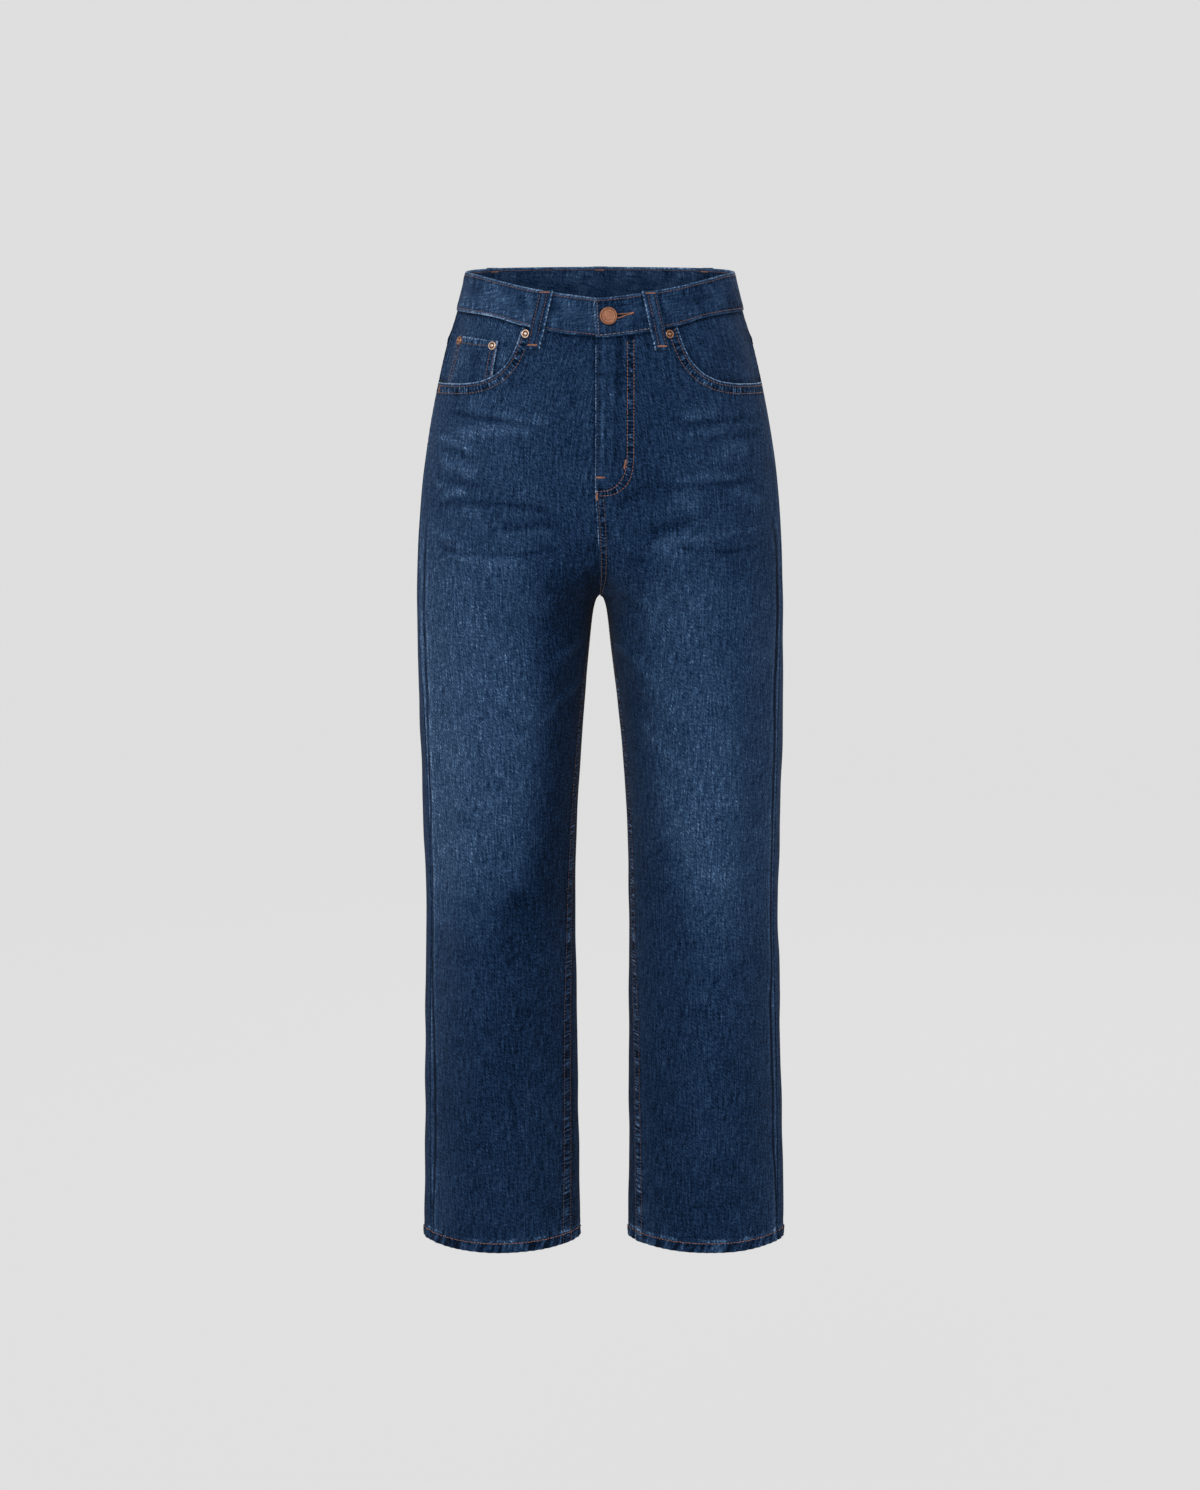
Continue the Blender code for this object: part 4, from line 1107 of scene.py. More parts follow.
def frontShape(side, t, z):
    m = surface.fromMiddle(t, z) * np.sign(t)
    e = m - smooth(flyEdge, z) * side
    o = surface.fromSide(t, z)
    x = surface.at(t * side, z, plainShape=True)[..., 0] * side
    seed = seeds["front"][side]
    lift, tone = creased(frontCreases, side, False, o, z)
    wear = np.zeros(z.shape)
    # fades
    rows = np.array(thighFade[side])
    inner, outer, amount = (smooth(list(zip(rows[:, 0], rows[:, i])), z) for i in (1, 2, 3))
    wander = x - inner + 0.006 * grain(z, seed, 0.03, seed)
    soft = 0.036 if side < 0 else 0.03
    edge = ease(wander / soft + 0.5)
    filled = 0.62 * edge + 0.38 * ease(wander / 0.075) if side < 0 else edge
    thigh = amount * filled * (1 - 0.7 * ease((x - outer) / 0.03 + 0.5))
    cloud = (
        0.03 * grain(o, z, 0.045, seed) + 0.026 * grain(o, z, 0.017, seed + 1)
        + 0.018 * grain(o, z, 0.007, seed + 2)
    )
    tone += smooth(frontTone, z)
    tone += thigh
    tone += cloud
    onThigh = ease((-0.25 - z) / 0.05) * ease((z + 0.68) / 0.1)
    if side < 0:
        # painted shade on the inner thigh, inside the fade's edge
        tone -= 0.11 * (1 - edge) * onThigh
        tone -= 0.07 * bell(x - 0.074, 0.034) * ease((-0.59 - z) / 0.04) * ease((z + 0.86) / 0.1)
        # painted shade beside the crotch
        tone -= 0.13 * bell(x - 0.018, 0.032) * bell(z + 0.27, 0.034)
        tone -= 0.08 * bell(e, 0.006) * ease((-0.23 - z) / 0.03)
    else:
        tone += 0.05 * onThigh
        tone += 0.16 * bell(e, 0.024) * ease((-0.3 - z) / 0.03)
        tone -= 0.15 * bell(e - 0.005, 0.0048) * ease((-0.2 - z) / 0.02) * ease((z + 0.31) / 0.015)
        tone -= 0.05 * bell(m - 0.03, 0.03) * bell(z + 0.15, 0.05)
    lift += 0.0007 * grain(o, z, 0.034, seed + 4) * ease(e / 0.02) * ease(o / 0.02)
    # the two panels meet where the cloth turns in at the crotch
    lift += 0.0011 * bell(e, 0.0022) * bell(z - cut["crotch"] - 0.008, 0.018)
    # paler towards the side seam, most beside the thigh fade
    stripe = bell(o - 0.009, 0.011) * ease((-0.14 - z) / 0.08) * ease((z + 0.78) / 0.14)
    low = (0.1 if side < 0 else 0.06) * bell(o, 0.03) * ease((-0.66 - z) / 0.05)
    tone += (0.02 * stripe + 0.04 * bell(o, 0.024) + low) * (0.9 + 0.3 * grain(z, 2.2, 0.02, seed))
    # a dark line placed in front of the side seam, whose own groove is shallow below the hip
    reach = (
        np.interp(z, surface.heights, surface.points[:, :, 0].max(axis=1))
        + (smooth(leftLegShift, z) if side > 0 else 0) - x
    )
    reach = np.where(t > 0.5, reach, 1.0) + 0.0006 * grain(z, 4.1, 0.03, seed)
    off = reach - smooth(pressedEdge[side], z)
    line = (
        0.17 * bell(off - 0.002, 0.0012) + 0.15 * bell(off + 0.0019, 0.0011)
        - (0.6 if side < 0 else 0.72) * bell(off, 0.001)
    )
    beside = (0.15 if side < 0 else 0.06) * bell(reach - 0.005, 0.0026)
    line -= beside * ease((-0.26 - z) / 0.03) * ease((z + 0.53) / 0.05)
    line = line * (0.85 + 0.25 * grain(z, 5.3, 0.012, seed + 6)) - 0.1 * bell(reach - 0.0014, 0.001)
    tone += line * ease((-0.2 - z) / 0.06)
    lift -= 0.0004 * bell(off, 0.001) * ease((-0.24 - z) / 0.06)
    # seams
    below = ease((cut["crotch"] + 0.01 - z) / 0.012)
    for rows, share in (
        (seams["inseamRows"][side], below),
        (seams["crotchRows"], (1 - below) * ease((-0.188 - z) / 0.004) * (side > 0))
    ):
        lift, tone, wear = added((lift, tone, wear), felledBand(e, z, rows, seed + 1), share)
    if side < 0:
        tone += 0.16 * bell(e - 0.012, 0.004) * below * ease((z + 0.68) / 0.08)
        tone -= 0.1 * bell(e - 0.003, 0.002) * below
    legFar = alongSeam(e, z, seams["inseamRows"][side])[1]
    bodyFar = alongSeam(e, z, seams["crotchRows"])[1] if side > 0 else farOff
    seamA = z, np.where(z < cut["crotch"], legFar, bodyFar)
    lift, tone, wear = added((lift, tone, wear), openSeam(o, z, seed + 2, True))
    far, along, _ = nearLine(m, z, mouth)
    near = ease((0.03 - far) / 0.01)
    hemmed = near * (z > -0.125)
    felled = felledBand(np.abs(far), along, seams["mouthRows"], seed + 3)
    lift, tone, wear = added((lift, tone, wear), felled, hemmed)
    seamB = along, np.where(hemmed > 0, alongSeam(np.abs(far), along, seams["mouthRows"])[1], farOff)
    wear += 0.55 * bell(far, 0.0012) * hemmed
    tone += 0.42 * bell(np.abs(far) - 0.0003, 0.0011) * hemmed
    belowBand = smooth(waistSeam, t) - z
    # painted shadow on the panel just under the waistband's edge
    tone -= 0.2 * bell(belowBand - 0.0004, 0.0018)
    tone -= 0.05 * bell(belowBand, 0.006)
    if side > 0:
        rounding = np.clip((z - seams["flyBottom"]) / seams["flyWidth"], 0, 1)
        flyReach = seams["flyWidth"] * np.sqrt(1 - (1 - rounding) ** 2)
        onFly = (z > seams["flyBottom"]) * 1.0
        lift += cut["flyRise"] * np.clip((flyReach - e) / seams["flyStep"], 0, 1) * onFly
        for name in ("inner", "outer"):
            off, run, _ = nearLine(m, z, bend(fly[name], 4))
            wave = pucker(run, 0.0054, seed + 7)
            lift -= 0.00026 * bell(off, 0.001)
            lift += 0.00022 * wave * bell(np.abs(off) - 0.003, 0.0022)
        seamA = (
            np.where(z > seams["flyFoot"], run, seamA[0]),
            np.where(z > seams["flyFoot"], off / (fly["outer"][0][0] - fly["inner"][0][0]), seamA[1])
        )
        pale = bell(e - 0.0001, 0.0008) * ease((-0.045 - z) / 0.006) * ease((z + 0.243) / 0.01)
        tone += 0.48 * pale * (0.8 + 0.4 * grain(z, 0.7, 0.008, 3))
        wear += 0.3 * pale
        # the loose cloth between the fly's edge and its rows stands in upright pleats, paler along their ridges and
        # with painted shade in the troughs between them
        sway = m + 0.0012 * grain(z, 0.9, 0.03, seeds["fly"] + 2)
        upper, top = ease((z + 0.172) / 0.03), ease((z + 0.112) / 0.02)
        pleats = (
            (0.14 + 0.1 * (1 - top)) * bell(sway - 0.0032, 0.0018)
            - (0.04 + 0.08 * (1 - top)) * bell(sway - 0.006, 0.0013)
        )
        pleats += (0.04 + 0.08 * top) * bell(sway - 0.0112, 0.002)
        pleats -= (0.09 + 0.14 * top) * bell(sway - 0.0172, 0.0036)
        pleats += 0.05 * bell(sway - 0.0226, 0.0014)
        tone += pleats * upper * (0.85 + 0.3 * grain(z, 1.3, 0.016, seeds["fly"] + 4))
        lift -= 0.0005 * (bell(sway - 0.0062, 0.0022) + bell(sway - 0.0176, 0.004)) * upper
        nicks = np.maximum(pucker(z, 0.0048, seeds["fly"] + 6), 0) * bell(e - 0.003, 0.0014)
        nicks = nicks * ease((z + 0.19) / 0.01)
        tone -= 0.36 * nicks
        tone -= 0.08 * bell(e - 0.0026, 0.0013) * upper
        tone -= 0.06 * bell(m - 0.0285, 0.0016) * upper
        lift += 0.0004 * grain(m, z, 0.016, seeds["fly"]) * ease((0.03 - e) / 0.01) * onFly
    else:
        # painted shadow of the left panel's fly edge, along the centre of the right panel
        tone -= 0.16 * bell(e, 0.0022) * ease((z + 0.243) / 0.01)
        tone += 0.05 * bell(e - 0.01, 0.006) * ease((z + 0.16) / 0.04)
    up, shade, rub, wall = hemShape(z, o, seed + 4)
    return lift + up, wall, tone + shade, wear + rub, (o * side, z), seamA, seamB


def backShape(side, t, z):
    o = surface.fromSide(t, z)
    e = surface.fromMiddle(t, z)
    x = surface.at(t * side, z, plainShape=True)[..., 0] * side
    seed = seeds["back"][side]
    lift, tone = creased(backCreases, side, True, o, z)
    cloud = (
        0.03 * grain(o, z, 0.05, seed) + 0.026 * grain(o, z, 0.018, seed + 1) + 0.018 * grain(o, z, 0.007, seed + 2)
    )
    tone += smooth(backTone, z)
    tone += cloud
    tone += 0.12 * bell(x - 0.082, 0.05) * bell(z + 0.205, 0.085)
    tone += 0.1 * bell(x - 0.095, 0.04) * bell(z + 0.4, 0.11)
    # painted shade towards the inner thigh
    tone -= 0.07 * (1 - ease((x - 0.04) / 0.02)) * ease((-0.24 - z) / 0.05) * ease((z + 0.66) / 0.1)
    lift += 0.0008 * grain(o, z, 0.036, seed + 4) * ease(e / 0.02) * ease(o / 0.02)
    wear = np.zeros(z.shape)
    lift, tone, wear = added((lift, tone, wear), openSeam(o, z, seed + 2, False))
    seat = ease((z - cut["crotch"]) / 0.01) * (side > 0)
    lift, tone, wear = added((lift, tone, wear), felledBand(e, z, seams["seatRows"], seed + 1), seat)
    groove = 1 - seat
    lift -= 0.0003 * bell(e, 0.0016) * groove
    lift += 0.0011 * bell(e, 0.0022) * bell(z - cut["crotch"] - 0.008, 0.018)
    tone -= 0.08 * bell(e, 0.0016) * groove
    tone += 0.05 * bell(e - 0.004, 0.003) * groove * pucker(z, 0.0056, seed + 9)
    up, shade, rub, wall = hemShape(z, o, seed + 4)
    seamA = z, np.where(seat > 0, alongSeam(e, z, seams["seatRows"])[1], farOff)
    return lift + up, wall, tone + shade, wear + rub, (-o * side, z), seamA


edgeSteps = np.array((0, 0.35, 0.8, 1.3, 2.0, 2.8, 3.8, 5.0, 6.3, 7.7, 9.2, 10.6, 12.2, 14.2, 16.6, 19.4)) / 1000


def frontPlace(m, z):
    # a turn from metres of cloth off the centre line, which may lie a little past it
    m, z = np.asarray(m, float), np.asarray(z, float)
    return np.where(m >= 0, surface.turnFromMiddle(np.abs(m), z), -surface.turnFromMiddle(np.abs(m), z))


topShares = joined([0, 0.008, 0.018, 0.03], np.linspace(0.046, 1, 42))


def panelTurns(z, near, far, corners, shares):
    # turns that lie metres off each edge of a panel, and at shares of the way between its corners
    columns = [near(step, z[:, k]) for k, step in enumerate(edgeSteps)]
    for start, end, between in zip(corners, corners[1:], shares):
        at = len(columns)
        columns += [start[:, at + k] + share * (end - start)[:, at + k] for k, share in enumerate(between)]
    at = len(columns)
    columns += [far(step, z[:, at + k]) for k, step in enumerate(edgeSteps[::-1])]
    return np.stack(columns, axis=1)


def panelHeights(top, rows):
    upper = top[None, :] * (1 - topShares[:, None]) + cut["hipLine"] * topShares[:, None]
    return joined(upper, np.repeat(rows[1:, None], top.size, axis=1))


def makeFront(side, hand):
    hemTop = cut["hemTop"]
    rows = spaced(
        (cut["hipLine"], -0.3, 0.0016), (-0.3, -0.45, 0.0024), (-0.45, -0.62, 0.003),
        (-0.62, hemTop + 0.012, 0.0032), (hemTop + 0.012, hemTop, 0.0009),
        (hemTop, cut["hemBottom"] + 0.001, 0.0011),
        (cut["hemBottom"] + 0.001, cut["hemBottom"], 0.0003),
    )
    inner, outer = np.linspace(0, 1, 41)[1:-1], np.linspace(0, 1, 63)[:-1] ** 1.2

    def turnsAt(z):
        gapTurn = cut["closed"] / surface.run(z)
        edge = flyTurn(z) * side + gapTurn
        corner = (pocketMouth[0][0] - edge) / (1 - gapTurn - edge)
        corners = surface.turnFromMiddle(edgeSteps[-1], z), corner, surface.turnFromSide(edgeSteps[-1], z)
        t = panelTurns(z, surface.turnFromMiddle, surface.turnFromSide, corners, (inner, outer))
        t[:, 0] = 0
        return edge + t * (1 - gapTurn - edge)

    count = 2 * len(edgeSteps) + len(inner) + len(outer)
    top = np.full(count, cut["hipLine"])
    for _ in range(6):
        t = turnsAt(top[None, :])[0]
        waist, scoop = smooth(waistSeam, t) + cut["tuck"], smooth(pocketMouth, t)
        top = np.where(t > pocketMouth[0][0] + 1e-6, scoop, waist)
    heights = panelHeights(top, rows)
    t = turnsAt(heights)
    lift, wall, tone, wear, uv, seamA, seamB = frontShape(side, t, heights)
    node = f"front_panel_{hand.lower()}"
    makeCloth(
        f"front{hand}Cloth", t * side, heights, lift, wall, tone, wear, uv, replaced=node, seamA=seamA, seamB=seamB
    )


def makeBack(side, hand):
    hemTop = cut["hemTop"]
    rows = spaced(
        (cut["hipLine"], hemTop + 0.012, 0.0028), (hemTop + 0.012, hemTop, 0.0009),
        (hemTop, cut["hemBottom"] + 0.001, 0.001), (cut["hemBottom"] + 0.001, cut["hemBottom"], 0.0003),
    )
    middle = np.linspace(0, 1, 96)[1:-1]

    def turnsAt(z):
        gapTurn = cut["closed"] / surface.run(z, True)
        near, far = (
            lambda distance, height, turnFrom=turnFrom: turnFrom(distance, height, True)
            for turnFrom in (surface.turnFromSide, surface.turnFromMiddle)
        )
        t = panelTurns(z, near, far, (near(edgeSteps[-1], z), far(edgeSteps[-1], z)), (middle,))
        return 1 + gapTurn + (t - 1) * (1 - 2 * gapTurn)

    top = np.full(2 * len(edgeSteps) + len(middle), cut["hipLine"])
    for _ in range(6):
        top = smooth(yokeSeam, turnsAt(top[None, :])[0]) - cut["closed"]
    heights = panelHeights(top, rows)
    t = turnsAt(heights)
    lift, wall, tone, wear, uv, seamA = backShape(side, t, heights)
    makeCloth(
        f"back{hand}Cloth", t * side, heights, lift, wall, tone, wear, uv, replaced=f"back_panel_{hand.lower()}",
        seamA=seamA
    )


for side, hand in hands:
    makeFront(side, hand)
    makeBack(side, hand)
print("panels made")


def makeYoke(side, hand):
    shares = spaced((0, 1, 0.0095))
    inMetres = edgeSteps[edgeSteps < 0.0125]
    run = surface.run(-0.04, True)
    shares = joined(inMetres / run, shares[(shares > 0.068) & (shares < 0.932)], 1 - inMetres[::-1] / run)
    down = joined([0, 0.008, 0.02, 0.034], spaced((0.055, 0.945, 0.034)), [0.966, 0.98, 0.992, 1])[:, None]
    gapTurn = cut["closed"] / run
    turns = 1 + gapTurn + shares[None, :] * (1 - 2 * gapTurn)
    top, bottom = smooth(waistSeam, turns) + cut["tuck"], smooth(yokeSeam, turns) + cut["closed"]
    heights = top * (1 - down) + bottom * down
    turns = np.repeat(turns, len(down), axis=0)
    o, e = surface.fromSide(turns, heights), surface.fromMiddle(turns, heights)
    seed = seeds["yoke"][side]
    lift, tone, wear = felledBand(heights - smooth(yokeSeam, turns), o, seams["yokeRows"], seed)
    seat = 1.0 * (side > 0)
    lift, tone, wear = added((lift, tone, wear), openSeam(o, heights, seed + 1, False))
    lift, tone, wear = added((lift, tone, wear), felledBand(e, heights, seams["seatRows"], seed + 2), seat)
    tone += smooth(backTone, heights)
    tone += 0.03 * grain(o, heights, 0.045, seed)
    tone += 0.03 * grain(o, heights, 0.014, seed + 1)
    seamA = alongSeam(heights - smooth(yokeSeam, turns), o, seams["yokeRows"])
    seamB = alongSeam(e, heights, seams["seatRows"]) if side > 0 else noSeam
    makeCloth(
        f"yoke{hand}Cloth", turns * side, heights, lift, cut["denimWall"], tone, wear, (-o * side, heights),
        replaced=f"back_yoke_{hand.lower()}", seamA=seamA, seamB=seamB,
    )


def makeAllowances():
    # the turned-in cloth behind the seat seam, the crotch seam and the yoke seams
    allowance = dict(wall=0.0009, lift=-0.0011, half=0.007, tone=0.34)

    def lay(name, turns, heights):
        uv = (surface.fromSide(turns, heights), heights)
        makeCloth(name, turns, heights, allowance["lift"], allowance["wall"], allowance["tone"], 0, uv, edgeWear=0)

    far = np.array((1, 0.65, 0.3, 0)) * allowance["half"]
    far = joined(far, -far[-2::-1])[None, :]
    heights = np.repeat(
        np.arange(smooth(waistSeam, 2.0) + cut["tuck"], cut["crotch"] + 0.006, -0.004)[:, None], far.size, axis=1
    )
    lay(
        "seatAllowanceCloth", np.where(far >= 0, 1, -1) * surface.turnFromMiddle(np.abs(far), heights, True),
        heights
    )
    heights = np.repeat(np.arange(-0.18, cut["crotch"] + 0.006, -0.004)[:, None], far.size, axis=1)
    lay("crotchAllowanceCloth", frontPlace(smooth(flyEdge, heights) - far, heights), heights)
    turns = spaced((1.004, 1.996, 0.012))[None, :]
    down = np.array((1, 0.5, 0, -0.5, -1))[:, None] * allowance["half"]
    turns, down = np.broadcast_arrays(turns, down)
    for side, hand in hands:
        lay(f"yoke{hand}AllowanceCloth", turns * side, smooth(yokeSeam, turns) + down)


def makeFacing(side, hand):
    facing = dict(tuck=0.016, lift=-0.0021 if side > 0 else -0.004, tone=0.3 if side > 0 else 0.4)
    start = pocketMouth[0][0] - facing["tuck"] / surface.run(cut["hipLine"])
    turns = spaced((start, 1, 0.01))[None, :]
    down = spaced((0, 1, 0.02))[:, None]
    top = smooth(waistSeam, turns) + 2 * cut["tuck"]
    heights = top * (1 - down) + (smooth(pocketMouth, turns) - facing["tuck"]) * down
    turns = np.minimum(np.repeat(turns, len(down), axis=0), 1 - cut["closed"] / surface.run(heights))
    m, o = surface.fromMiddle(turns, heights), surface.fromSide(turns, heights)
    inSight = -nearLine(m, heights, mouth)[0]
    tone = (
        facing["tone"] + 0.05 * grain(o, heights, 0.022, seeds["facing"])
        + 0.04 * grain(o, heights, 0.008, seeds["facing"] + 2)
    )
    if side < 0:
        beyond = o - (1 + coin["bottom"][1][0]) * surface.run(heights)
        tone += 0.08 * ease((beyond - 0.002) / 0.004)
        # painted shadow beside the coin pocket's inner edge
        tone -= 0.2 * bell(beyond - 0.0006, 0.0016) * (heights < coin["top"][1][1])
    # painted shadow under the pocket mouth's edge
    tone -= 0.14 * bell(inSight, 0.0045) * (inSight > -0.004)
    tone -= 0.05 * bell(o, 0.004)
    # painted shadow under the waistband's edge
    tone -= 0.24 * bell(smooth(waistSeam, turns) - heights - 0.0004, 0.002)
    atSeam = ease((0.014 - o) / 0.012) * ease((inSight - 0.0006) / 0.004)
    lift = facing["lift"] * (1 - 0.93 * atSeam) + 0.00018 * grain(o, heights, 0.02, seeds["facing"] + 4)
    makeCloth(
        f"facing{hand}Cloth", turns * side, heights, lift, cut["patchWall"], tone, 0, (o * side, heights),
        replaced=f"pocket_facing_{hand.lower()}", edgeWear=0
    )


coin = dict(
    top=((-0.84, -0.0392), (-0.54, -0.044)), bottom=((-0.87, -0.093), (-0.545, -0.089)), lift=-0.0021, hem=0.0062,
    rows=(0.0018, 0.0068), wideShare=0.3, tall=0.05
)


def coinPlace(across, down):
    # turns and heights on the coin pocket, from its outer top corner
    (a, b), (c, d) = coin["top"], coin["bottom"]
    return [
        (a[i] * (1 - across) + b[i] * across) * (1 - down)
        + (c[i] * (1 - across) + d[i] * across) * down for i in (0, 1)
    ]


def coinShape(across, down):
    run = surface.run(coinPlace(across, down)[1])
    wide, tall = coin["wideShare"] * run, coin["tall"]
    fromTop, fromOuter, fromInner = down * tall, across * wide, (1 - across) * wide
    lift, tone, wear = np.zeros((3, *across.shape))
    for far, seed in ((fromInner, seeds["coin"]), (fromOuter, seeds["coin"] + 2)):
        up, shade, rub = felledBand(far, fromTop, coin["rows"], seed)
        lift, tone, wear = lift + 0.5 * up, tone + shade, wear + rub
    wave = pucker(fromOuter, 0.005, seeds["coin"] + 4)
    hem = ease((coin["hem"] + 0.003 - fromTop) / 0.002)
    lift += 0.0004 * hem
    lift += 0.0003 * wave * bell(fromTop - coin["hem"], 0.004)
    lift -= 0.0002 * bell(fromTop - coin["hem"], 0.0009)
    tone += 0.42
    tone += 0.03 * grain(fromOuter, fromTop, 0.012, seeds["coin"] + 6)
    tone += 0.1 * wave * bell(fromTop - coin["hem"], 0.003)
    tone -= 0.06 * bell(fromTop - coin["hem"] - 0.002, 0.0012)
    tone += 0.36 * bell(fromTop - 0.0004, 0.0013)
    tone += 0.42 * bell(fromInner - 0.0003, 0.0013)
    tone += 0.16 * bell(fromOuter, 0.0012)
    tone += 0.1 * bell(fromOuter - 0.007, 0.006)
    # painted shade in a shallow valley down the pocket
    tone -= 0.15 * bell(fromOuter - 0.62 * wide, 0.007) * ease((fromTop - 0.008) / 0.008)
    tone += 0.06 * bell(fromTop - 0.0038, 0.0024)
    wear += 0.4 * bell(fromTop, 0.001)
    wear += 0.25 * bell(fromInner, 0.0009)
    return coin["lift"] + lift, tone, wear


def makeCoinPocket():
    across = joined([0, 0.006, 0.014, 0.024], spaced((0.04, 0.96, 0.018)), [0.976, 0.986, 0.994, 1])[None, :]
    down = joined([0, 0.007, 0.016, 0.028], spaced((0.045, 0.985, 0.02)), [1])[:, None]
    across, down = grid(across, down)
    turns, heights = coinPlace(across, down)
    lift, tone, wear = coinShape(across, down)
    wall = cut["patchWall"] + lift - coin["lift"]
    o = surface.fromSide(turns, heights)
    wide, tall = coin["wideShare"] * surface.run(heights), coin["tall"]
    seamA = alongSeam(np.minimum(across, 1 - across) * wide, down * tall, coin["rows"])
    seamB = across * wide, (coin["hem"] - down * tall) / coin["hem"]
    makeCloth(
        "coinPocketCloth", turns, heights, lift, wall, tone, wear, (-o, heights), "patchDenim", "coin_pocket", 0.2,
        seamA, seamB
    )


backPocket = dict(
    halfWidths=((0.0, 0.071), (0.045, 0.0698), (0.09, 0.0672), (0.126, 0.065)), turn=1.51, top=-0.096, tilt=0.006,
    point=0.022, hem=0.013, rows=(0.0018, 0.0078)
)


def backPocketPlace(across, down):
    # across runs from -1 at the seat side to 1 at the side seam, and down is metres below the pocket's top edge
    deepest = backPocket["halfWidths"][-1][0]
    width = smooth(backPocket["halfWidths"], down) * across
    point = backPocket["point"] * (1 - np.abs(across)) * down / deepest
    heights = backPocket["top"] - down - point - backPocket["tilt"] * across
    return backPocket["turn"] - width / surface.run(heights, True), heights


def backPocketShape(side, across, down):
    deepest = backPocket["halfWidths"][-1][0]
    half = smooth(backPocket["halfWidths"], down)
    seed = seeds["backPocket"][side]
    lift, tone, wear = np.zeros((3, *across.shape))
    slant = math.cos(math.atan(backPocket["point"] / half.mean()))
    fromSides, fromFoot = half * (1 - np.abs(across)), (deepest - down) * slant
    hemmed = ease((down - backPocket["hem"]) / 0.002)
    edge = np.minimum(fromSides, fromFoot)
    along = np.where(fromSides < fromFoot, down, half * across)
    up, shade, rub = felledBand(edge, along, backPocket["rows"], seed)
    lift, tone, wear = lift + 0.7 * up, tone + shade, wear + rub
    wave = pucker(half * across, 0.006, seed + 1)
    lift += 0.0007 * (1 - hemmed) * ease(down / 0.001)
    lift += 0.00022 * wave * bell(down - backPocket["hem"], 0.005)
    tone += 0.05 * wave * bell(down - backPocket["hem"], 0.004)
    tone -= 0.05 * bell(down - backPocket["hem"] - 0.0012, 0.0012)
    belly = 1 - across**2
    lift += 0.0022 * belly * np.sin(math.pi * np.clip(down / deepest, 0, 1)) ** 0.8
    lift += 0.0006 * grain(half * across, down, 0.03, seed + 2)
    tone += 0.4
    tone += 0.07 * belly * bell(down - 0.075, 0.05)
    tone += 0.03 * grain(half * across, down, 0.02, seed + 3)
    tone += 0.02 * grain(half * across, down, 0.007, seed + 4)
    wear += 0.3 * bell(down, 0.0011)
    wear += 0.2 * bell(edge, 0.0011)
    seamA = alongSeam(edge, along, backPocket["rows"])
    seamB = half * across, (backPocket["hem"] - down) / backPocket["hem"]
    return cut["layerGap"] + cut["patchWall"] + lift, tone, wear, seamA, seamB


def makeBackPocket(side, hand):
    deepest = backPocket["halfWidths"][-1][0]
    near = np.array((0, 0.006, 0.014, 0.024, 0.036))
    across = joined(near - 1, spaced((-0.93, 0.93, 0.0333)), 1 - near[::-1])[None, :]
    near = near * 0.06
    down = joined(near, spaced((0.004, deepest - 0.004, 0.0023)), deepest - near[::-1])[:, None]
    across, down = grid(across, down)
    turns, heights = backPocketPlace(across, down)
    lift, tone, wear, seamA, seamB = backPocketShape(side, across, down)
    under = backShape(side, turns, heights)[0]
    lift += np.maximum(under, 0)
    wall = cut["patchWall"] + 0.0012
    o = surface.fromSide(turns, heights)
    node = f"back_pocket_{hand.lower()}"
    makeCloth(
        f"backPocket{hand}Cloth", turns * side, heights, lift, wall, tone, wear, (-o * side, heights), "patchDenim",
        node, 0.2, seamA, seamB
    )


band = dict(
    underlap=0.034,
    underlapEase=0.02,
    underlapSink=0.0125,
    edge=-0.0042,
    slant=0.0024,
    corner=0.007,
    topRow=0.0028,
    bottomRow=0.0027,
    puckers=(0.0028, 0.01),
    hole=((0.0146, -0.0205), (0.0262, -0.0188)),
    holeTail=(0.0318, -0.018),
    middle=-0.0207,
    slantReach=0.02,
    slantHeight=-0.02,
    tongue=0.69,
)


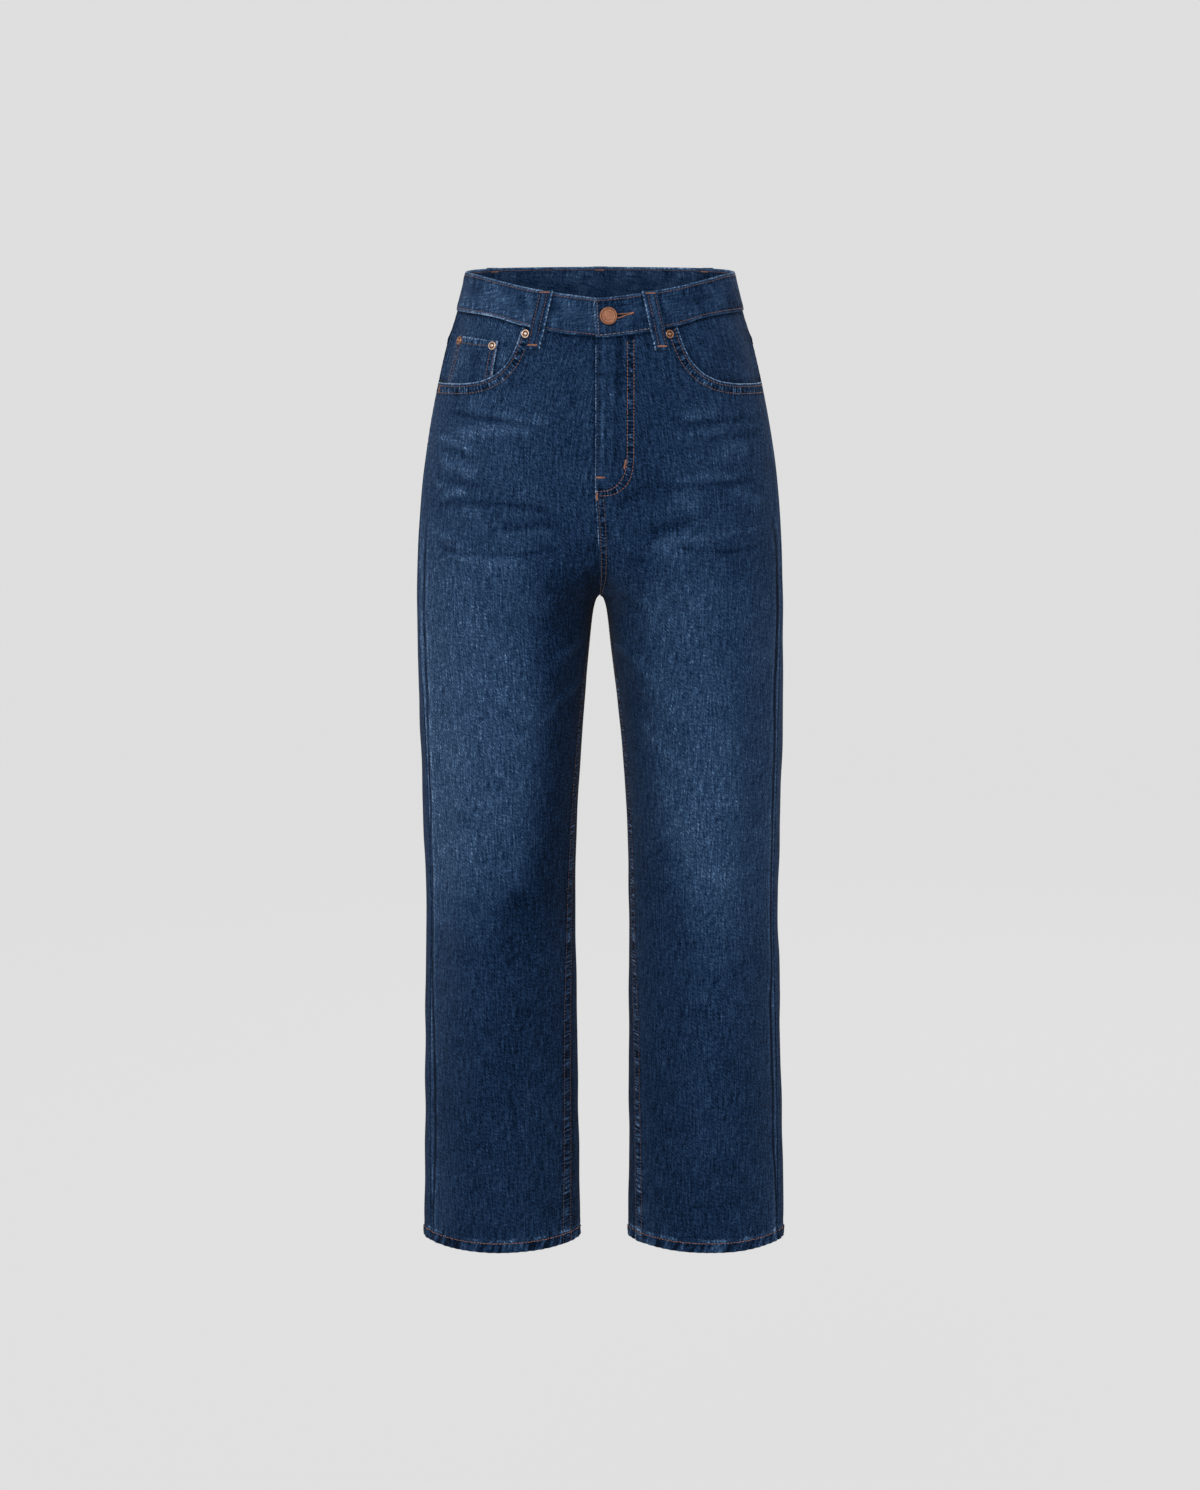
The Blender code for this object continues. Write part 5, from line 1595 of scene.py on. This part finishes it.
def bandShape(s, fromTop, fromBottom, turns, heights):
    # s is metres of cloth from the overlap's end, round by the wearer's left
    tongue = s > band["tongue"]
    wave, under = pucker(s, 0.0052, seeds["band"]), pucker(s, 0.0063, seeds["band"] + 2)
    plump = 0.00045 * np.sqrt(np.clip(fromTop / 0.006, 0, 1) * np.clip(fromBottom / 0.006, 0, 1))
    lift = plump - 0.00034 * (bell(fromTop - band["topRow"], 0.0009) + bell(fromBottom - band["bottomRow"], 0.0009))
    lift += 0.00034 * wave * bell(fromTop - 0.0055, 0.0042)
    lift += 0.00036 * under * bell(fromBottom - 0.0058, 0.0045)
    drag = grain(s + 0.3 * heights, fromTop * 0.25, 0.0048, seeds["band"] + 4)
    lift += 0.0003 * drag
    lift += 0.0004 * grain(s, fromTop, 0.018, seeds["band"] + 6)
    right = np.clip((np.abs(turns) < 1) * (turns < 0), 0, 1)
    front = ease((1.15 - np.abs(turns)) / 0.3)
    tone = 0.31 + 0.12 * right * front + 0.03 * front + 0.09 * drag
    tone += 0.07 * grain(s, heights, 0.02, seeds["band"] + 8)
    tone += 0.08 * grain(s + 0.4 * heights, heights, 0.008, seeds["band"] + 10)
    tone -= 0.07 * bell(s - 0.018, 0.012) * bell(fromTop - 0.006, 0.014)
    tone += 0.3 * bell(fromTop - 0.0005, 0.0011)
    tone -= 0.1 * bell(fromTop - band["topRow"] - 0.0012, 0.0011)
    tone += 0.2 * bell(fromBottom - 0.0002, 0.0009)
    tone -= 0.1 * bell(fromBottom - band["bottomRow"] - 0.0012, 0.0011)
    rightFront = right * ease((1.0 - np.abs(turns)) / 0.2) * ease((np.abs(turns) - 0.3) / 0.08)
    tone += 0.09 * rightFront * ease((fromTop - 0.018) / 0.008)
    tone += 0.18 * rightFront * bell(fromBottom - 0.0006, 0.0014)
    tone += 0.13 * (1 - front) * bell(fromTop - 0.002, 0.012)
    tone += 0.06 * wave * bell(fromTop - 0.0062, 0.0036)
    tone += 0.08 * under * bell(fromBottom - 0.0064, 0.0036)
    wear = 0.3 * bell(fromTop - 0.0004, 0.0011) + 0.2 * np.maximum(under, 0) * bell(fromBottom - 0.006, 0.004)
    tone += 0.36 * bell(s, 0.0012)
    tone -= 0.12 * bell(s - 0.004, 0.0014)
    wear += 0.3 * bell(s, 0.001)
    # painted shadow of each front belt loop on the band, on the side away from the key lamp
    for _, _, topTurn, bottomTurn in loopPlaces[:2]:
        down = fromTop / (fromTop + fromBottom + loops["drop"])
        centre = topTurn + down * (bottomTurn - topTurn)
        off = (turns - centre) * surface.run(heights) - loops["width"] / 2
        tone -= 0.22 * bell(off - 0.0014, 0.002) * (off > -0.002)
    x = s + band["edge"]
    # the buttonhole's slit: sunk a little, and darkened as painted shade inside the opening
    far, _, share = nearLine(x, heights, band["hole"])
    slot = bell(far, 0.0006 + 0.0016 * ease((0.35 - share) / 0.4)) * (np.abs(turns) < 0.5) * (turns > -0.1)
    lift, tone = lift - 0.001 * slot, tone - 0.4 * slot
    return np.where(tongue, 0, lift), tone, wear


def bandPlace(s):
    # turns along the waistband, and how far its hidden tongue sinks under the other end
    run, backRun = surface.run(band["middle"]), surface.run(band["middle"], True)
    start = (band["edge"] + cut["seamGap"]) / run
    turning = (start, 1, 3, 4 + band["underlap"] / run)
    ahead = (1 - start) * run
    metres = (0, ahead, ahead + 2 * backRun, ahead + 2 * backRun + (turning[3] - 3) * run)
    along = np.interp(s, metres, turning)
    into = ((along - 4) * run - band["edge"] + band["underlapEase"]) / band["underlapSink"]
    sink = (cut["bandWall"] + cut["seamGap"]) * np.clip(into, 0, 1)
    return np.where(along > 2, along - 4, along), sink, metres[3]


def makeBand():
    full = bandPlace(0.0)[2]
    spans = (0.0029, 0.04, 0.0008), (0.04, full - 0.06, 0.0023), (full - 0.06, full - 0.001, 0.0015)
    s = joined([0, 0.0003, 0.0008, 0.0014, 0.0021], spaced(*spans), [full - 0.0004, full])
    first, last = [0, 0.01, 0.024, 0.042, 0.064, 0.088], [0.912, 0.936, 0.958, 0.976, 0.99, 1]
    down = joined(first, spaced((0.115, 0.885, 0.035)), last)[:, None]
    turns, sink, _ = bandPlace(s)
    turns, sink, s = turns[None, :], sink[None, :], s[None, :]
    top, bottom = smooth(rimLine, np.abs(turns)), smooth(waistSeam, np.abs(turns)) + cut["seamGap"] / 2
    radius = band["corner"]
    top = top - radius + np.sqrt(radius**2 - np.maximum(radius - s, 0) ** 2)
    heights = top * (1 - down) + bottom * down
    turns, sink, s = (np.repeat(a, len(down), axis=0) for a in (turns, sink, s))
    slant = band["slant"] * (1 - down) * ease(1 - s / band["slantReach"])
    turns = turns - slant / surface.run(band["slantHeight"])
    fromTop, fromBottom = (top - heights), (heights - bottom)
    lift, tone, wear = bandShape(s, fromTop, fromBottom, turns, heights)
    wall = cut["bandWall"] + lift
    seamA, seamB = alongSeam(fromTop, s, band["puckers"]), alongSeam(fromBottom, s, band["puckers"])
    lift = cut["bandLift"] - sink + lift
    makeCloth(
        "waistbandCloth", turns, heights, lift, wall, tone, wear, (heights - 0.12 * s, s), "bandDenim", "waistband",
        0.15, seamA, seamB
    )


loops = dict(width=0.0145, drop=0.0195, bow=0.0012, bowShare=0.8, step=0.006, rows=(-0.16, 0.31), rim=0.0026)
loopPlaces = (
    ("frontRight", "belt_loop_front_right", -0.293, -0.337),
    ("frontLeft", "belt_loop_front_left", 0.266, 0.309),
    ("sideBackRight", "belt_loop_side_back_right", -1.4, -1.404),
    ("sideBackLeft", "belt_loop_side_back_left", 1.4, 1.404),
    ("centreBack", "belt_loop_centre_back", 2.0, 2.0),
)


def loopShape(topTurn, bottomTurn, across, down, seed):
    # across runs from -0.5 to 0.5 of the loop's width, and down from 0 at the rim to 1 at its foot
    side = 1 if topTurn > 0 else -1
    top, seam = smooth(rimLine, abs(topTurn)), smooth(waistSeam, abs(bottomTurn))
    heights = top + down * (seam - loops["drop"] - top)
    centre = abs(topTurn) + down * (abs(bottomTurn) - abs(topTurn))
    turns = (centre + across * loops["width"] / surface.run(heights, abs(topTurn) > 1)) * side
    onBand = np.clip((heights - seam) / loops["step"] + 1 / 3, 0, 1)
    bow = loops["bow"] * np.sin(math.pi * np.clip(down / loops["bowShare"], 0, 1))
    base = cut["layerGap"] + cut["bandLift"] * onBand + bow + cut["loopWall"]
    fromEdge = (0.5 - np.abs(across)) * loops["width"]
    metres = down * (top - seam + loops["drop"])
    wave = pucker(metres + across * 0.004, 0.0048, seed)
    fromRow = np.minimum(*(np.abs(across - row) for row in loops["rows"])) * loops["width"]
    lift = 0.0004 * ease(fromEdge / 0.0016) - 0.0003 * bell(fromRow, 0.0009)
    lift += 0.0002 * wave * bell(fromEdge - 0.001, 0.0016)
    lift += 0.0003 * grain(metres, across, 0.008, seed + 1)
    tone = 0.34 + 0.1 * wave * bell(fromEdge - 0.001, 0.002) + 0.08 * grain(metres, across * 0.02, 0.005, seed + 2)
    paleEdge = np.where(across < 0, 1.0, 0.35)
    tone += 0.4 * paleEdge * bell(fromEdge - 0.0005, 0.001)
    tone -= 0.16 * bell(fromRow, 0.0015)
    tone += 0.12 * bell(across - 0.07, 0.14)
    wear = 0.35 * paleEdge * bell(fromEdge - 0.0004, 0.0008) + 0.5 * bell(metres, 0.0012)
    wear += 0.3 * bell(metres - (top - seam) - loops["drop"], 0.001)
    return turns, heights, base, lift, tone, wear


def makeLoop(hand, node, topTurn, bottomTurn, seed):
    across = np.array((-0.5, -0.485, -0.46, -0.43, -0.39, -0.35, -0.3, -0.24, -0.17, -0.09))
    across = joined(across, [0], -across[::-1])[None, :]
    down = joined([0, 0.008, 0.018, 0.03], spaced((0.045, 0.955, 0.02)), [0.97, 0.982, 0.992, 1])[:, None]
    across, down = grid(across, down)
    turns, heights, base, lift, tone, wear = loopShape(topTurn, bottomTurn, across, down, seed)
    uv = (across * loops["width"], heights)
    seamA = heights + 0.3 * np.sign(across), 1 - (0.5 - np.abs(across)) * loops["width"] / loops["rim"]
    makeCloth(
        f"{hand}LoopCloth", turns, heights, base + lift, cut["loopWall"] + lift, tone, wear, uv, "bandDenim", node,
        0.2, seamA
    )


for side, hand in hands:
    makeYoke(side, hand)
    makeFacing(side, hand)
    makeBackPocket(side, hand)
makeAllowances()
makeCoinPocket()
makeBand()
for number, (hand, node, topTurn, bottomTurn) in enumerate(loopPlaces):
    makeLoop(hand, node, topTurn, bottomTurn, seeds["loop"] + 4 * number)
print("band, loops and pockets made")


def turnedPiece(name, profile, vertices):
    # a round piece made by extruding and scaling a cylinder's top, from (radius, height) pairs
    (radius, low), (second, high) = profile[:2]
    bpy.ops.object.select_all(action="DESELECT")
    bpy.ops.mesh.primitive_cylinder_add(
        vertices=vertices, radius=radius, depth=high - low, location=(0, 0, (low + high) / 2)
    )
    piece = bpy.context.object
    piece.name = piece.data.name = name
    bpy.ops.object.transform_apply(location=True, rotation=False, scale=False)
    top = max(piece.data.polygons, key=lambda face: face.center.z).index
    bpy.ops.object.mode_set(mode="EDIT")
    bpy.ops.mesh.select_all(action="DESELECT")
    bpy.ops.object.mode_set(mode="OBJECT")
    piece.data.polygons[top].select = True
    bpy.ops.object.mode_set(mode="EDIT")
    bpy.ops.mesh.select_mode(type="FACE")
    ratio = second / radius
    bpy.ops.transform.resize(value=(ratio, ratio, 1), center_override=(0, 0, high))
    for (lastRadius, lastHeight), (radius, height) in zip(profile[1:], profile[2:]):
        bpy.ops.mesh.extrude_region_move(TRANSFORM_OT_translate={"value": (0, 0, height - lastHeight)})
        ratio = radius / lastRadius
        bpy.ops.transform.resize(value=(ratio, ratio, 1), center_override=(0, 0, height))
    bpy.ops.object.mode_set(mode="OBJECT")
    return piece


def makeStitchShape():
    piece = turnedPiece("oneStitch", ((0.35, -1.0), (0.88, -0.72), (1.0, 0.0), (0.88, 0.72), (0.35, 1.0)), 6)
    points = np.array([vertex.co[:] for vertex in piece.data.vertices])
    faces = [list(face.vertices) for face in piece.data.polygons]
    bpy.data.objects.remove(piece)
    return points, faces


stitchPoints, stitchFaces = makeStitchShape()
thread = dict(
    radius=0.00034,
    pitch=0.0033,
    share=0.8,
    sink=0.00042,
    proud=0.00022,
    barProud=0.0003,
    barSink=0.0005,
    spacing=0.0008,
)


def normalAt(turns, heights):
    turns, heights = np.broadcast_arrays(turns, heights)
    turns = wrapped(turns)
    normal = surface.lookUp(surface.normals, np.abs(turns), heights).copy()
    normal[..., 0] *= np.where(turns > 0, 1, -1)
    return normal


def besideCloth(turns, heights, lift, face, proud):
    # places just off the outer or inner face of the cloth, their normals, and metres along them
    points = surface.at(turns, heights, lift + face * proud)
    far = joined([0], np.cumsum(np.linalg.norm(np.diff(points, axis=0), axis=1)))
    return points, face * normalAt(turns, heights), far


class Threads:
    # stitches gathered into one piece
    def __init__(self, name, shade):
        self.name, self.shade, self.parts = name, shade, []

    def lay(self, centres, tangents, normals, half, radius, sink):
        tangents = tangents / np.linalg.norm(tangents, axis=1, keepdims=True)
        across = np.cross(tangents, normals)
        across /= np.linalg.norm(across, axis=1, keepdims=True)
        normals = np.cross(across, tangents)
        x, y, z = stitchPoints.T
        half, radius = np.broadcast_to(half, len(centres)), np.broadcast_to(radius, len(centres))
        rise = (radius[:, None] * y[None, :] - sink * z[None, :] ** 4)[..., None]
        points = centres[:, None] + tangents[:, None] * (half[:, None] * z)[..., None]
        self.parts.append(points + across[:, None] * (radius[:, None] * x)[..., None] + normals[:, None] * rise)

    def row(self, turns, heights, lift, pitch=None, radius=None, face=1):
        # a row of stitches along places on the cloth, on its outer face or, with -1, its inner one
        pitch, radius, share = pitch or thread["pitch"], radius or thread["radius"], thread["share"]
        points, normals, far = besideCloth(turns, heights, lift, face, thread["proud"])
        count = max(2, int(far[-1] / pitch))
        random = np.random.default_rng(len(self.parts) + 5)
        middles = (np.arange(count) + 0.5 + random.uniform(-0.05, 0.05, count)) * far[-1] / count
        half = far[-1] / count * share / 2 * random.uniform(0.94, 1.06, count)
        tangents = readAt(points, far, middles + half * 0.9) - readAt(points, far, middles - half * 0.9)
        centres, normals = readAt(points, far, middles), readAt(normals, far, middles)
        self.lay(centres, tangents, normals, half, radius, thread["sink"])

    def bar(self, turns, heights, lift, wide, pitch=0.00042, radius=0.0003, face=1):
        # a bartack: threads laid close together across a short line
        points, normals, far = besideCloth(turns, heights, lift, face, thread["barProud"])
        places = np.arange(0.5, max(2, far[-1] / pitch)) * pitch
        centres, normal = readAt(points, far, places), readAt(normals, far, places)
        along = np.gradient(centres, axis=0)
        tangents = np.cross(normal, along) + along * 0.25
        random = np.random.default_rng(len(self.parts) + 9)
        half = np.interp(places / far[-1], np.linspace(0, 1, np.size(wide)), np.atleast_1d(wide)) / 2
        self.lay(
            centres, tangents, normal, half * random.uniform(0.9, 1.08, len(places)), radius, thread["barSink"]
        )

    def finish(self):
        points = np.concatenate([part.reshape(-1, 3) for part in self.parts])
        count = len(points) // len(stitchPoints)
        faces = [[corner + k * len(stitchPoints) for corner in face] for k in range(count) for face in stitchFaces]
        mesh = bpy.data.meshes.new(self.name)
        mesh.from_pydata(points.tolist(), [], faces)
        placeMesh(self.name, mesh, self.shade)
        print(self.name, count, "stitches")


def fine(line, spacing=thread["spacing"]):
    # the same line with points at a closer spacing
    line = np.asarray(line, float)
    far = lengths(line)
    return readAt(line, far, np.linspace(0, far[-1], max(3, int(far[-1] / spacing))))


def onFront(threads, side, m, z, tool="row", **more):
    t = frontPlace(m, z)
    getattr(threads, tool)(t * side, z, frontShape(side, t, z)[0], **more)


def sewFront(side, hand):
    copper = Threads(f"front{hand}Stitching", "copperThread")
    brown = Threads(f"front{hand}MouthStitching", "brownThread")
    shadedBrown = Threads(f"front{hand}InseamStitching", "shadedBrownThread")
    navy = Threads(f"front{hand}EdgeStitching", "navyThread")
    z = np.arange(cut["crotch"] - 0.006, cut["hemBottom"] + 0.001, -thread["spacing"])
    for far in seams["inseamRows"][side]:
        onFront(shadedBrown, side, far + smooth(flyEdge, z) * side, z)
    z = np.arange(-0.192, cut["crotch"] - 0.002, -thread["spacing"])
    for far in seams["crotchRows"] if side > 0 else ():
        onFront(shadedBrown, side, far + smooth(flyEdge, z), z)
    for far in seams["mouthRows"]:
        m, z = fine(mouthLine(far)).T
        t = frontPlace(m, z)
        inside = (z < smooth(waistSeam, t) - 0.0008) & (surface.fromSide(t, z) > 0.0006) & (m < surface.run(z))
        onFront(brown, side, m[inside], z[inside])
    brown.finish()
    shadedBrown.finish()
    up = cut["hemTop"]
    m = np.arange(thread["spacing"], surface.run(up) - thread["spacing"], thread["spacing"])
    onFront(copper, side, m, np.full(m.shape, up))
    # a bartack below the pocket mouth's side end, and a second one on the right
    t = surface.turnFromSide(np.linspace(0.0008, 0.0078, 8), -0.0885)
    z = smooth(pocketMouth, t) - 0.003
    copper.bar(t * side, z, frontShape(side, t, z)[0], 0.0016)
    if side > 0:
        for name in ("inner", "outer"):
            m, z = fine(bend(fly[name], 5)).T
            onFront(copper, side, m, z)
        z = np.arange(-0.046, -0.184, -thread["spacing"])
        onFront(navy, side, 0.0026 + smooth(flyEdge, z), z, pitch=0.0029, radius=0.00026)
        for line in (
            ((0.0246, -0.1555), (0.0228, -0.164)), ((-0.0036, -0.1722), (0.005, -0.1722)),
            ((-0.003, -0.1868), (-0.003, -0.1938))
        ):
            m, z = fine(line).T
            onFront(copper, side, m, z, tool="bar", wide=0.0019)
        navy.finish()
    else:
        t = surface.turnFromSide(np.full(8, 0.016), -0.09)
        z = smooth(pocketMouth, t) - np.linspace(0.0026, 0.0098, 8)
        copper.bar(t * side, z, frontShape(side, t, z)[0], 0.0016)
    copper.finish()


def sewBack(side, hand):
    copper = Threads(f"back{hand}Stitching", "copperThread")
    if side > 0:
        waist, yoke = smooth(waistSeam, 2.0), smooth(yokeSeam, 2.0)
        for start, end, onPanel in (
            (yoke - 0.001, cut["crotch"] - 0.002, True), (waist - 0.001, yoke + 0.001, False)
        ):
            z = np.arange(start, end, -thread["spacing"])
            for far in seams["seatRows"]:
                t = surface.turnFromMiddle(far, z, True)
                copper.row(t, z, backShape(side, t, z)[0] if onPanel else cut["seamGap"] + 0.0004)
    t = np.linspace(1.004, 1.996, 300)
    for far in seams["yokeRows"]:
        copper.row(t * side, smooth(yokeSeam, t) + far, 0.00035)
    up = cut["hemTop"]
    far = np.arange(thread["spacing"], surface.run(up, True) - thread["spacing"], thread["spacing"])
    t = surface.turnFromSide(far, up, True)
    z = np.full(t.shape, up)
    copper.row(t * side, z, backShape(side, t, z)[0])
    # the pocket
    deepest = backPocket["halfWidths"][-1][0]
    for far in backPocket["rows"]:
        downs = np.linspace(0.0006, deepest - far, 160)
        edge = 1 - far / smooth(backPocket["halfWidths"], downs)
        foot = np.linspace(1, -1, 160) * edge[-1]
        across = joined(edge, foot, -edge[::-1])
        down = joined(downs, np.full(160, deepest - far), downs[::-1])
        onPocket(copper, side, across, down)
    across = np.linspace(-1, 1, 200) * 0.985
    onPocket(copper, side, across, np.full(200, backPocket["hem"]))
    for end in (1, -1):
        down = np.linspace(0.0008, 0.009, 14)
        onPocket(copper, side, np.full(14, end * 0.945), down, tool="bar", wide=0.0021)
    copper.finish()


def onPocket(threads, side, across, down, tool="row", **more):
    t, z = backPocketPlace(across, down)
    lift = backPocketShape(side, across, down)[0] + np.maximum(backShape(side, t, z)[0], 0)
    getattr(threads, tool)(t * side, z, lift, **more)


def sewCoinPocket():
    brown = Threads("coinPocketStitching", "brownThread")
    wide, tall = coin["wideShare"] * surface.run(-0.06), coin["tall"]

    def lay(across, down, **more):
        turns, heights = coinPlace(across, down)
        seen = heights > smooth(pocketMouth, np.abs(turns)) - 0.002
        brown.row(turns[seen], heights[seen], coinShape(across, down)[0][seen], **more)

    share = np.linspace(0.004, 0.996, 120)
    lay(share, np.full(120, coin["hem"] / tall))
    for far in coin["rows"]:
        lay(np.full(160, 1 - far / wide), np.linspace(0.01, 0.99, 160))
        lay(np.full(160, far / wide), np.linspace(0.01, 0.99, 160))
    brown.finish()


def sewBand():
    brown = Threads("waistbandStitching", "brownThread")
    tonal = Threads("waistbandTonalStitching", "tonalThread")
    copper = Threads("waistbandButtonhole", "copperThread")
    full = bandPlace(0.0)[2] - band["underlap"]

    def place(s, fromEdge, top):
        turns = bandPlace(s)[0]
        high, low = smooth(rimLine, np.abs(turns)), smooth(waistSeam, np.abs(turns)) + cut["seamGap"] / 2
        heights = high - fromEdge if top else low + fromEdge
        lift = bandShape(s, high - heights, heights - low, turns, heights)[0]
        slant = band["slant"] * (heights - low) / (high - low) * ease(1 - s / band["slantReach"])
        turns = turns - slant / surface.run(band["slantHeight"])
        return turns, heights, cut["bandLift"] + lift

    s = np.arange(0.003, full - 0.001, thread["spacing"])
    brown.row(*place(s, band["topRow"], True), pitch=0.0031)
    innerFace = cut["bandLift"] - cut["bandWall"]
    beside = s[(s > 0.045) & (s < full - 0.045)]
    turns, heights, _ = place(beside, band["topRow"], True)
    brown.row(turns, heights, innerFace, pitch=0.0031, face=-1)
    for _, _, turn, _ in loopPlaces:
        turns = turn + np.linspace(-0.3, 0.34, 20) * loops["width"] / surface.run(0.0, abs(turn) > 1)
        copper.bar(turns, smooth(rimLine, 2 - np.abs(2 - np.abs(turns))) - 0.0034, innerFace, 0.0014, face=-1)
    brown.row(*place(s[s > 0.052], band["bottomRow"], False), pitch=0.0034)
    tonal.row(*place(s[s < 0.052], band["bottomRow"], False), pitch=0.0041)
    down = np.arange(0.0032, 0.035, thread["spacing"])
    tonal.row(*place(np.full(down.shape, 0.003), down, True), pitch=0.003, radius=0.00026)

    def hole(line, **more):
        x, z = fine(line, 0.0004).T
        turns = x / surface.run(z)
        copper.bar(turns, z, cut["bandLift"] + 0.00045, **more)

    (startX, startZ), (endX, endZ), (tailX, tailZ) = *band["hole"], band["holeTail"]
    for off in (0.0019, -0.0019):
        near = (startX + 0.0022, startZ + off)
        hole(
            (
                near, (startX + 0.006, startZ + 0.7 * off + 0.0006), (endX - 0.001, endZ + 0.35 * off),
                (endX + 0.001, endZ + 0.15 * off)
            ),
            wide=0.0013
        )
    hole(
        (
            (startX + 0.0022, startZ + 0.0019), (startX + 0.0002, startZ + 0.0008),
            (startX + 0.0002, startZ - 0.0008), (startX + 0.0022, startZ - 0.0019)
        ),
        wide=0.0012
    )
    hole(((endX, endZ), (tailX, tailZ + 0.0006)), wide=(0.0022, 0.0022, 0.0014))
    for threads in (brown, tonal, copper):
        threads.finish()


def sewLoops():
    brown = Threads("beltLoopStitching", "brownThread")
    copper = Threads("beltLoopBartacks", "copperThread")
    for number, (_, _, topTurn, bottomTurn) in enumerate(loopPlaces):
        seed = seeds["loop"] + 4 * number
        for across in loops["rows"]:
            down = np.linspace(0.06, 0.9, 90)
            turns, heights, base, lift, _, _ = loopShape(topTurn, bottomTurn, np.full(90, across), down, seed)
            brown.row(turns, heights, base + lift, pitch=0.003, radius=0.00027)
        for down, wide, first, last in ((0.03, 0.0013, -0.3, 0.34), (0.93, 0.0019, -0.27, 0.36)):
            across = np.linspace(first, last, 20)
            turns, heights, base, lift, _, _ = loopShape(topTurn, bottomTurn, across, np.full(20, down), seed)
            copper.bar(turns, heights, base + lift, wide)
    brown.finish()
    copper.finish()


for side, hand in hands:
    sewFront(side, hand)
    sewBack(side, hand)
sewCoinPocket()
sewBand()
sewLoops()


def placeOnCloth(piece, node, turn, height, lift):
    def near(turning, rise):
        return surface.at(np.array(turn + turning), np.array(height + rise))

    point = near(0, 0)
    across, up = near(0.01, 0) - near(-0.01, 0), near(0, 0.002) - near(0, -0.002)
    across, up = Vector(across).normalized(), Vector(up).normalized()
    out = across.cross(up).normalized()
    up = out.cross(across)
    matrix = Matrix((across, up, out)).transposed().to_4x4()
    matrix.translation = Vector(point) + out * lift
    piece.matrix_world = matrix
    bpy.ops.object.select_all(action="DESELECT")
    piece.select_set(True)
    bpy.context.view_layer.objects.active = piece
    bpy.ops.object.transform_apply(location=True, rotation=True, scale=True)
    bpy.ops.object.shade_smooth_by_angle(angle=math.radians(32))
    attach(piece, "root")
    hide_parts(node)


def finishMetal(piece, names, darkFrom, darkTo):
    # the second finish goes on the faces whose radius lies in the dark span, as painted shade in a sunken ring
    for name in names:
        piece.data.materials.append(materials[name])
    for face in piece.data.polygons:
        radius = math.hypot(face.center.x, face.center.y)
        face.material_index = int(face.normal.z > -0.5 and darkFrom < radius < darkTo)


button = dict(x=0.0079, height=band["middle"], radius=0.0085, thick=0.003, shank=0.0032, shankLength=0.002)
rivet = dict(radius=0.0042, thick=0.0016)
rivetPlaces = (
    ("mouthRight", "rivet_mouth_right", -0.383, -0.0374, 0.0, "brass"),
    ("mouthLeft", "rivet_mouth_left", 0.357, -0.0376, 0.0, "shadedBrass"),
    ("coinInner", "rivet_coin_inner", -0.566, -0.0487, coin["lift"], "brass"),
    ("coinOuter", "rivet_coin_outer", -0.822, -0.0446, coin["lift"], "shadedBrass"),
)


def makeButton():
    r, back, face = button["radius"], button["shankLength"], button["shankLength"] + button["thick"]
    profile = (
        (button["shank"], 0.0), (button["shank"], back), (r * 0.88, back), (r * 0.97, back + 0.0003),
        (r, back + 0.0008), (r, face - 0.0013), (r * 0.985, face - 0.0008), (r * 0.95, face - 0.0003),
        (r * 0.9, face - 0.00004), (r * 0.86, face), (r * 0.81, face - 0.00006), (r * 0.775, face - 0.0004),
        (r * 0.75, face - 0.00075), (r * 0.7, face - 0.00085), (r * 0.52, face - 0.00078),
        (r * 0.5, face - 0.00058), (r * 0.47, face - 0.00054), (r * 0.44, face - 0.0006),
        (r * 0.42, face - 0.00074), (r * 0.22, face - 0.00066), (r * 0.05, face - 0.00062),
    )
    piece = turnedPiece("waistButton", profile, 56)
    finishMetal(piece, ("copper", "recessShade"), r * 0.765, r * 0.795)
    turn = button["x"] / float(surface.run(button["height"]))
    placeOnCloth(piece, "waist_button", turn, button["height"], cut["bandLift"] + cut["seamGap"])


def makeRivet(hand, node, turn, height, lift, metal):
    r, top = rivet["radius"], rivet["thick"]
    profile = (
        (r, -0.0002), (r, top * 0.3), (r * 0.97, top * 0.52), (r * 0.9, top * 0.72), (r * 0.8, top * 0.82),
        (r * 0.7, top * 0.8), (r * 0.66, top * 0.66), (r * 0.62, top * 0.4), (r * 0.46, top * 0.36),
        (r * 0.42, top * 0.5), (r * 0.39, top * 0.76), (r * 0.33, top * 0.92), (r * 0.2, top * 1.02),
        (r * 0.05, top * 1.06),
    )
    piece = turnedPiece(f"{hand}Rivet", profile, 28)
    finishMetal(piece, (metal, "recessShade"), r * 0.43, r * 0.64)
    placeOnCloth(piece, node, turn, height, lift + cut["seamGap"] + 0.0004)


makeButton()
for place in rivetPlaces:
    makeRivet(*place)
print("hardware made")

# what shows of each piece as it was cut: width, length and area, and what it hangs from or lies on
cuts = dict(
    front=(0.284, 0.932, 0.188, "hung", "waistband", ("MouthStitching", "InseamStitching", "Stitching")),
    back=(0.354, 0.914, 0.251, "hung", "yoke", ("Stitching",)),
    yoke=(0.226, 0.072, 0.0114, "hung", "waistband", ()),
    facing=(0.128, 0.09, 0.0092, "laid", "front", ()),
    backPocket=(0.156, 0.155, 0.0197, "laid", "back", ()),
)
for _, hand in hands:
    for part, (wide, long, area, held, under, sewing) in cuts.items():
        along = [part + hand + row for row in sewing]
        along += ["frontLeftEdgeStitching"] * (part == "front" and hand == "Left")
